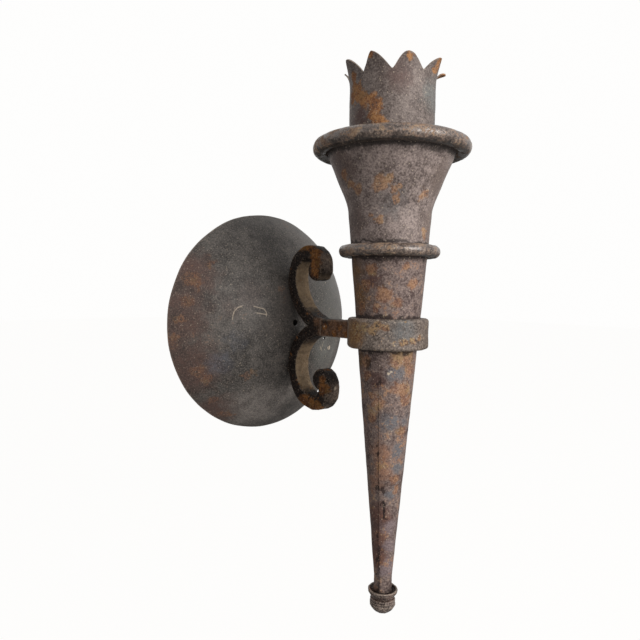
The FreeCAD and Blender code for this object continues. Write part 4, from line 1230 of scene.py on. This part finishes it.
# ---- torch
@dataclass
class Torch:
    """The rolled torch with its collar, its head and its two rings."""

    joint: Tuple[float, float] = (31.4, 66.6)
    foot: Tuple[float, float] = (7.65, -205.0)
    tail: float = 15.0
    sheet: float = 1.5
    flare: float = 103.0
    bend: float = 36.0
    mouth: Tuple[float, float] = (52.5, 146.0)
    collar_radius: float = 33.4
    collar_half: float = 12.5
    collar_edge: float = 2.8
    lap: float = 0.9
    overlap: float = 0.012
    lap_span: Tuple[float, float] = (-110.0, -22.0)
    seam_at: float = FACING - 14.0
    seam_drift: float = 9.0
    neck_ring: Point = (36.52, 5.1, 66.6)
    rim_ring: Point = (57.8, 6.35, 149.5)

    @property
    def slope(self) -> float:
        """Change of the taper's radius with height."""
        return (self.joint[0] - self.foot[0]) / (self.joint[1] - self.foot[1])

    def radius_at(self, height: float) -> float:
        """Outer radius of the straight taper at a height."""
        return self.joint[0] + self.slope * (height - self.joint[1])

    def cone(self) -> Piece:
        """Roll the cone, with its sheet's edges lapped down the front.

        Returns:
            The cone.
        """
        piece = Piece("cone_rolled")
        low = self.foot[1] - self.tail
        line = Outline(piece.mesh, (self.foot[0] - self.sheet, low))
        line.line((self.foot[0], low)).line(self.foot, 6).line(self.joint, 90)
        line.line((self.joint[0] - self.sheet, self.joint[1]))
        line.line((self.foot[0] - self.sheet, self.foot[1]), 20)
        line.close()
        starts = set(piece.mesh.verts[:])
        ends = set(verts_of(sweep(piece.mesh, piece.mesh.verts[:] + piece.mesh.edges[:],
                                  (0.0, 0.0, 0.0), (0.0, 0.0, 1.0), math.tau, 120)))
        # the roll's edges lie on one another: its start is lifted over its end, down the front
        for vert in piece.mesh.verts:
            reach = math.hypot(vert.co.x, vert.co.y)
            way = math.atan2(vert.co.y, vert.co.x) % math.tau
            if vert in starts:
                way = 0.0
            if vert in ends:
                way = math.tau
            height = vert.co.z
            lift = self.lap * (1.0 - ease(height, *self.lap_span))
            reach += lift * (1.0 - ease(way, 0.0, 0.9))
            seam = math.radians(self.seam_at - self.seam_drift * ease(-height, 130.0, 215.0))
            spread = way * (1.0 + self.overlap) - 0.04 * (1.0 - ease(way, 0.0, 0.5))
            vert.co.x = reach * math.cos(seam + spread)
            vert.co.y = reach * math.sin(seam + spread)
        for loop in (starts, ends):
            rim = [edge for edge in piece.mesh.edges
                   if edge.verts[0] in loop and edge.verts[1] in loop]
            bmesh.ops.contextual_create(piece.mesh, geom=rim)
        bmesh.ops.triangulate(piece.mesh, faces=[face for face in piece.mesh.faces
                                                 if len(face.verts) > 4])
        bmesh.ops.recalc_face_normals(piece.mesh, faces=piece.mesh.faces[:])
        return piece.move(TORCH_AXIS)

    def head(self) -> Piece:
        """Turn the flared head.

        Returns:
            The head.
        """
        knee = (self.radius_at(self.flare), self.flare)
        low_lean = math.atan(self.slope)
        high_lean = math.atan2(self.mouth[0] - knee[0], self.mouth[1] - knee[1])
        turned = high_lean - low_lean
        tangent = self.bend * math.tan(turned / 2.0)
        start = (knee[0] - tangent * math.sin(low_lean), knee[1] - tangent * math.cos(low_lean))
        centre = (start[0] + self.bend * math.cos(low_lean),
                  start[1] - self.bend * math.sin(low_lean))
        piece = Piece("head_flared")
        line = Outline(piece.mesh, self.joint)
        line.line(start, 8).arc(centre, -math.degrees(turned), 8).line(self.mouth, 12)
        line.line((self.mouth[0] - self.sheet, self.mouth[1]))
        line.line((knee[0] - self.sheet - 0.6, knee[1]), 6)
        line.line((self.joint[0] - self.sheet, self.joint[1]), 4)
        line.close()
        turn(piece.mesh, 144)
        return piece.move(TORCH_AXIS)

    def ring(self, name: str, size: Point, facets: int) -> Piece:
        """Turn a ring of round bar.

        Args:
            name: The piece's name.
            size: Radius of the ring's middle line, radius of the bar, and height.
            facets: Facets round the ring.

        Returns:
            The ring.
        """
        piece = Piece(name)
        radius, bar, height = size
        line = Outline(piece.mesh, (radius + bar, height))
        line.arc((radius, height), 360.0 * 23.0 / 24.0, 23)
        line.close()
        turn(piece.mesh, facets)
        return piece.move(TORCH_AXIS)

    def collar(self) -> Piece:
        """Turn the heavy collar with its rounded edges.

        Returns:
            The collar.
        """
        piece = Piece("collar_forged")
        high, edge, side = self.collar_half, self.collar_edge, self.collar_radius
        line = Outline(piece.mesh, (self.radius_at(-high) - 0.2, -high))
        line.line((side - edge, -high), 3).arc((side - edge, edge - high), 90.0, 6)
        line.line((side, high - edge), 8).arc((side - edge, high - edge), 90.0, 6)
        line.line((self.radius_at(high) - 0.2, high), 3)
        line.close()
        turn(piece.mesh, 120)
        return piece.move(TORCH_AXIS)

    def build(self) -> None:
        """Make the torch."""
        cone, head, ring = TORCH_IRON.make(), HEAD_IRON.make(), RING_IRON.make()
        self.cone().hammer(0.25, 16.0).seat(cone, "torch_iron", ["torch_cone"], 50.0)
        self.head().hammer(0.35, 18.0).seat(head, "torch_iron", ["torch_head"])
        neck = self.ring("neck_ring_forged", self.neck_ring, 120).hammer(0.35, 8.0)
        neck.wear(0.09, 0.16).seat(ring, "ring_iron", ["neck_ring"])
        rim = self.ring("rim_ring_forged", self.rim_ring, 160).hammer(0.3, 11.0)
        rim.wear(0.07, 0.13).seat(ring, "ring_iron", ["rim_ring"])
        self.collar().hammer(0.4, 9.0).seat(COLLAR_IRON.make(), "collar_iron", ["collar"])
        carry("pan", PAN_IRON.make(), "pan_iron")


# ---- crown
@dataclass(frozen=True)
class Leaf:
    """One leaf of the crown. Angles are in degrees to the right of the way it faces."""

    start: float
    tip: float
    end: float
    valley: float
    next_valley: float
    height: float
    round_left: float
    round_right: float
    steep: float
    bend: float
    bend_from: float = 51.0

    def edge(self, share: float) -> Tuple[float, float]:
        """Angle and height of the leaf's edge before it is bent outwards.

        Args:
            share: From 0 at its left valley through 0.5 at its tip to 1 at its right valley.

        Returns:
            The angle in degrees and the height above the pan.
        """
        if share <= 0.5:
            part = share * 2.0
            angle = self.start + (self.tip - self.start) * part
            base, power = self.valley, self.round_left
        else:
            part = (1.0 - share) * 2.0
            angle = self.end + (self.tip - self.end) * part
            base, power = self.next_valley, self.round_right
        rise = (1.0 - (1.0 - part) ** power) ** self.steep
        return angle, base + (self.height - base) * rise


@dataclass
class Crown:
    """The sheet crown with its uneven leaves."""

    radius: float = 34.7
    sheet: float = 1.2
    foot: float = 7.0
    base: float = 148.0
    columns: int = 24
    rows: int = 44
    leaves: Tuple[Leaf, ...] = (
        Leaf(-40.3, -25.4, -0.8, 54.8, 54.6, 68.2, 1.35, 1.45, 1.15, 31.0),
        Leaf(-0.8, 18.5, 42.9, 54.6, 56.0, 67.0, 2.2, 2.0, 1.6, 34.0),
        Leaf(42.9, 67.2, 88.0, 56.0, 54.5, 69.0, 1.5, 1.2, 1.1, 24.0),
        Leaf(88.0, 106.0, 131.0, 54.5, 54.0, 69.5, 1.3, 1.5, 1.1, 10.0, 53.5),
        Leaf(131.0, 152.0, 177.0, 54.0, 55.0, 68.0, 1.6, 1.4, 1.2, 30.0),
        Leaf(177.0, 203.0, 223.0, 55.0, 54.0, 68.0, 1.4, 1.6, 1.2, 26.0),
        Leaf(223.0, 252.0, 274.0, 54.0, 55.0, 69.0, 1.5, 1.5, 1.2, 20.0),
        Leaf(274.0, 296.1, 319.7, 55.0, 54.8, 69.0, 1.25, 1.5, 1.1, 24.0),
    )

    def wall(self) -> Piece:
        """Raise the crown's wall and shape its edge into leaves.

        Returns:
            The crown as one sheet.
        """
        piece = Piece("crown_cut")
        inner = self.radius - self.foot
        line = Outline(piece.mesh, (inner, 0.0))
        line.line((self.radius, 0.0), 3).line((self.radius, 1.0), self.rows)
        count = len(self.leaves) * self.columns
        turn(piece.mesh, count)
        for vert in piece.mesh.verts:
            reach = math.hypot(vert.co.x, vert.co.y)
            column = round(math.atan2(vert.co.y, vert.co.x) / math.tau * count) % count
            leaf = self.leaves[column // self.columns]
            angle, top = leaf.edge((column % self.columns) / self.columns)
            high = vert.co.z * top
            beyond = high - leaf.bend_from
            if beyond > 0.0:
                swing = beyond / leaf.bend
                reach += leaf.bend * (1.0 - math.cos(swing))
                high = leaf.bend_from + leaf.bend * math.sin(swing)
            way = math.radians(FACING + angle)
            vert.co = Vector((reach * math.cos(way), reach * math.sin(way), high))
        return piece.move((TORCH_AXIS[0], TORCH_AXIS[1], self.base))

    def build(self) -> None:
        """Make the crown and its rivets."""
        iron = CROWN_IRON.make()
        sheet = self.wall().through([("SOLIDIFY", {"thickness": self.sheet, "offset": -1.0})])
        sheet.hammer(0.3, 12.0).seat(iron, "crown_iron", ["crown"], 45.0)
        carry("crown_rivets", iron, "rivet_iron")


# ---- finial
@dataclass
class Finial:
    """The cup and the grooved button below the cone."""

    cup_radius: float = 12.6
    cup_foot: float = 10.0
    cup_top: float = -216.6
    cup_floor: float = -224.0
    stem: float = 7.65
    button_radius: float = 10.8
    button_low: float = -230.5
    nose: float = 7.2
    lip: float = 0.95
    bore: float = 3.0
    cup_corner: float = 1.2

    def cup(self) -> Piece:
        """Turn the open cup with its thick lip.

        Returns:
            The cup.
        """
        piece = Piece("cup_turned")
        lip, floor, top, side = self.lip, self.cup_floor, self.cup_top, self.cup_radius
        corner = self.cup_foot - self.cup_corner
        line = Outline(piece.mesh, (self.bore, floor)).line((corner, floor), 3)
        line.arc((corner, floor + self.cup_corner), 70.0, 4)
        line.line((side - 0.1, top - 2.4), 4).line((side, top - lip), 2)
        line.arc((side - lip, top - lip), 180.0, 8).line((side - 2.4, top - 2.4), 3)
        line.line((self.stem + 0.6, top - 4.6), 4).line((self.bore, top - 4.8), 2)
        line.close()
        turn(piece.mesh, 72)
        return piece.move(TORCH_AXIS)

    def button(self) -> Piece:
        """Turn the button with its grooves and its rounded nose.

        Returns:
            The button.
        """
        piece = Piece("button_turned")
        across = self.button_radius
        nose_radius = (across ** 2 + self.nose ** 2) / (2.0 * self.nose)
        low = self.button_low - self.nose
        half = math.degrees(math.asin(across / nose_radius))
        line = Outline(piece.mesh, (0.0, low))
        line.arc((0.0, low + nose_radius), half, 16)
        step = (self.cup_floor - self.button_low) / 3.0
        for number in range(1, 3):
            height = self.button_low + step * number
            line.line((across, height - 1.0), 2).line((across - 0.9, height - 0.25))
            line.line((across - 0.9, height + 0.25)).line((across - 0.1, height + 0.8))
        line.line((across - 0.4, self.cup_floor - 0.4), 2).line((across - 1.6, self.cup_floor), 2)
        line.line((0.0, self.cup_floor), 4)
        turn(piece.mesh, 72)
        return piece.move(TORCH_AXIS)

    def build(self) -> None:
        """Make the finial."""
        iron = FINIAL_IRON.make()
        self.cup().hammer(0.3, 4.0).seat(iron, "finial_iron", ["finial_cup"])
        self.button().hammer(0.35, 4.0).seat(iron, "finial_iron", ["finial_button"])


@dataclass
class Lampholder:
    """The lampholder in the crown and the fittings inside, carried over from the frame."""

    steel: Tuple[str, ...] = ("nipple", "lock_nut", "lampholder_cap", "holder_screws",
                              "finial_stud", "tail_plug")
    brass: Tuple[str, ...] = ("screw_shell", "centre_contact", "shell_rivet", "terminal_plates",
                              "terminal_screws")

    def build(self) -> None:
        """Dress each of them."""
        zinc, brass = ZINC_STEEL.make(), SOCKET_BRASS.make()
        for node in self.steel:
            carry(node, zinc, "screw_steel" if node == "holder_screws" else "zinc_steel")
        for node in self.brass:
            carry(node, brass, "socket_brass")
        carry("lampholder_body", PORCELAIN.make(), "porcelain")


# ---- studio
@dataclass
class Studio:
    """Camera, floor, sky and lamp. The floor's half side and the lamp's sizes are in metres."""

    eye: Point = (-367.98, -514.04, 36.505)
    yaw: float = -40.93
    pitch: float = -3.084
    roll: float = 0.776
    focal: float = 601.16
    picture: float = 640.0
    floor_height: float = -330.0
    floor_half: float = 6.0
    pale: Colour = (0.46, 0.455, 0.45, 1.0)
    dim: Colour = (0.38, 0.375, 0.37, 1.0)
    glow: Colour = (1.04, 1.035, 1.025, 1.0)
    glow_share: float = 0.93
    light: Colour = (1.0, 0.985, 0.97, 1.0)
    strength: float = 0.42
    backdrop: Colour = (0.99, 0.987, 0.98, 1.0)
    lamp_place: Point = (0.1, -1.95, 0.6)
    lamp_aim: Point = (0.0, -0.12, 0.0)
    lamp_size: float = 1.2
    lamp_power: float = 43.0
    lamp_colour: Point = (1.0, 0.985, 0.96)

    def camera(self) -> None:
        """Set the camera where the photograph was taken from."""
        data = bpy.data.cameras.new("camera")
        data.sensor_width = 36.0
        data.lens = 36.0 * self.focal / self.picture
        data.clip_start = 0.01
        camera = place_object("camera", data)
        camera.matrix_world = Matrix.Translation(Vector(self.eye) * MM)
        for degrees, axis in ((self.yaw, "Z"), (90.0 + self.pitch, "X"), (self.roll, "Z")):
            camera.matrix_world @= Matrix.Rotation(math.radians(degrees), 4, axis)
        bpy.context.scene.camera = camera

    def floor(self) -> None:
        """Lay the pale floor, which looks almost white to the camera."""
        piece = Piece("floor")
        bmesh.ops.create_grid(piece.mesh, x_segments=2, y_segments=2, size=self.floor_half)
        floor = piece.move((0.0, 0.0, self.floor_height * MM)).to_object()
        paint = Paint("floor_pale")
        colour = paint.mix(self.pale, self.dim, paint.mottle(900.0, 2.0))
        shader = paint.shader(colour, 0.85, 0.0, shine=0.1)
        glow = paint.node("Emission", {}, {"Color": self.glow})
        seen = paint.node("LightPath", {}, {}, "Is Camera Ray") * self.glow_share
        both = paint.node("MixShader", {}, {0: seen, 1: shader, 2: glow})
        floor.data.materials.append(paint.finish(both))

    def sky(self) -> None:
        """Light everything softly, with a pale backdrop behind it."""
        world = bpy.data.worlds.new("studio")
        bpy.context.scene.world = world
        world.use_nodes = True
        nodes = Nodes(world.node_tree)
        seen = nodes.node("LightPath", {}, {}, "Is Camera Ray")
        for name in ("Is Glossy Ray", "Is Transmission Ray"):
            seen = seen.most(nodes.node("LightPath", {}, {}, name))
        soft = nodes.node("Background", {}, {"Color": self.light, "Strength": self.strength})
        back = nodes.node("Background", {}, {"Color": self.backdrop})
        both = nodes.node("MixShader", {}, {0: seen, 1: soft, 2: back})
        nodes.close("ShaderNodeOutputWorld", both)

    def lamp(self) -> None:
        """Hang the one soft lamp, which looks at the sconce."""
        data = bpy.data.lights.new("key", "AREA")
        data.size = self.lamp_size
        data.energy = self.lamp_power
        data.color = self.lamp_colour
        lamp = place_object("key", data)
        aim = Vector(self.lamp_aim) - Vector(self.lamp_place)
        lamp.rotation_mode = "QUATERNION"
        lamp.rotation_quaternion = aim.to_track_quat("-Z", "Y")
        lamp.location = self.lamp_place

    def build(self) -> None:
        """Set up the whole studio."""
        bpy.context.scene.view_settings.view_transform = "Standard"
        self.camera()
        self.floor()
        self.sky()
        self.lamp()


def main() -> None:
    """Build the studio and the sconce, piece by piece."""
    logging.basicConfig(level=logging.INFO, format="%(message)s")
    for part in (Studio(), WallPlate(), Fork(), Torch(), Crown(), Finial(), Lampholder()):
        part.build()
        LOG.info("%s done", type(part).__name__)


if __name__ == "__main__":
    main()
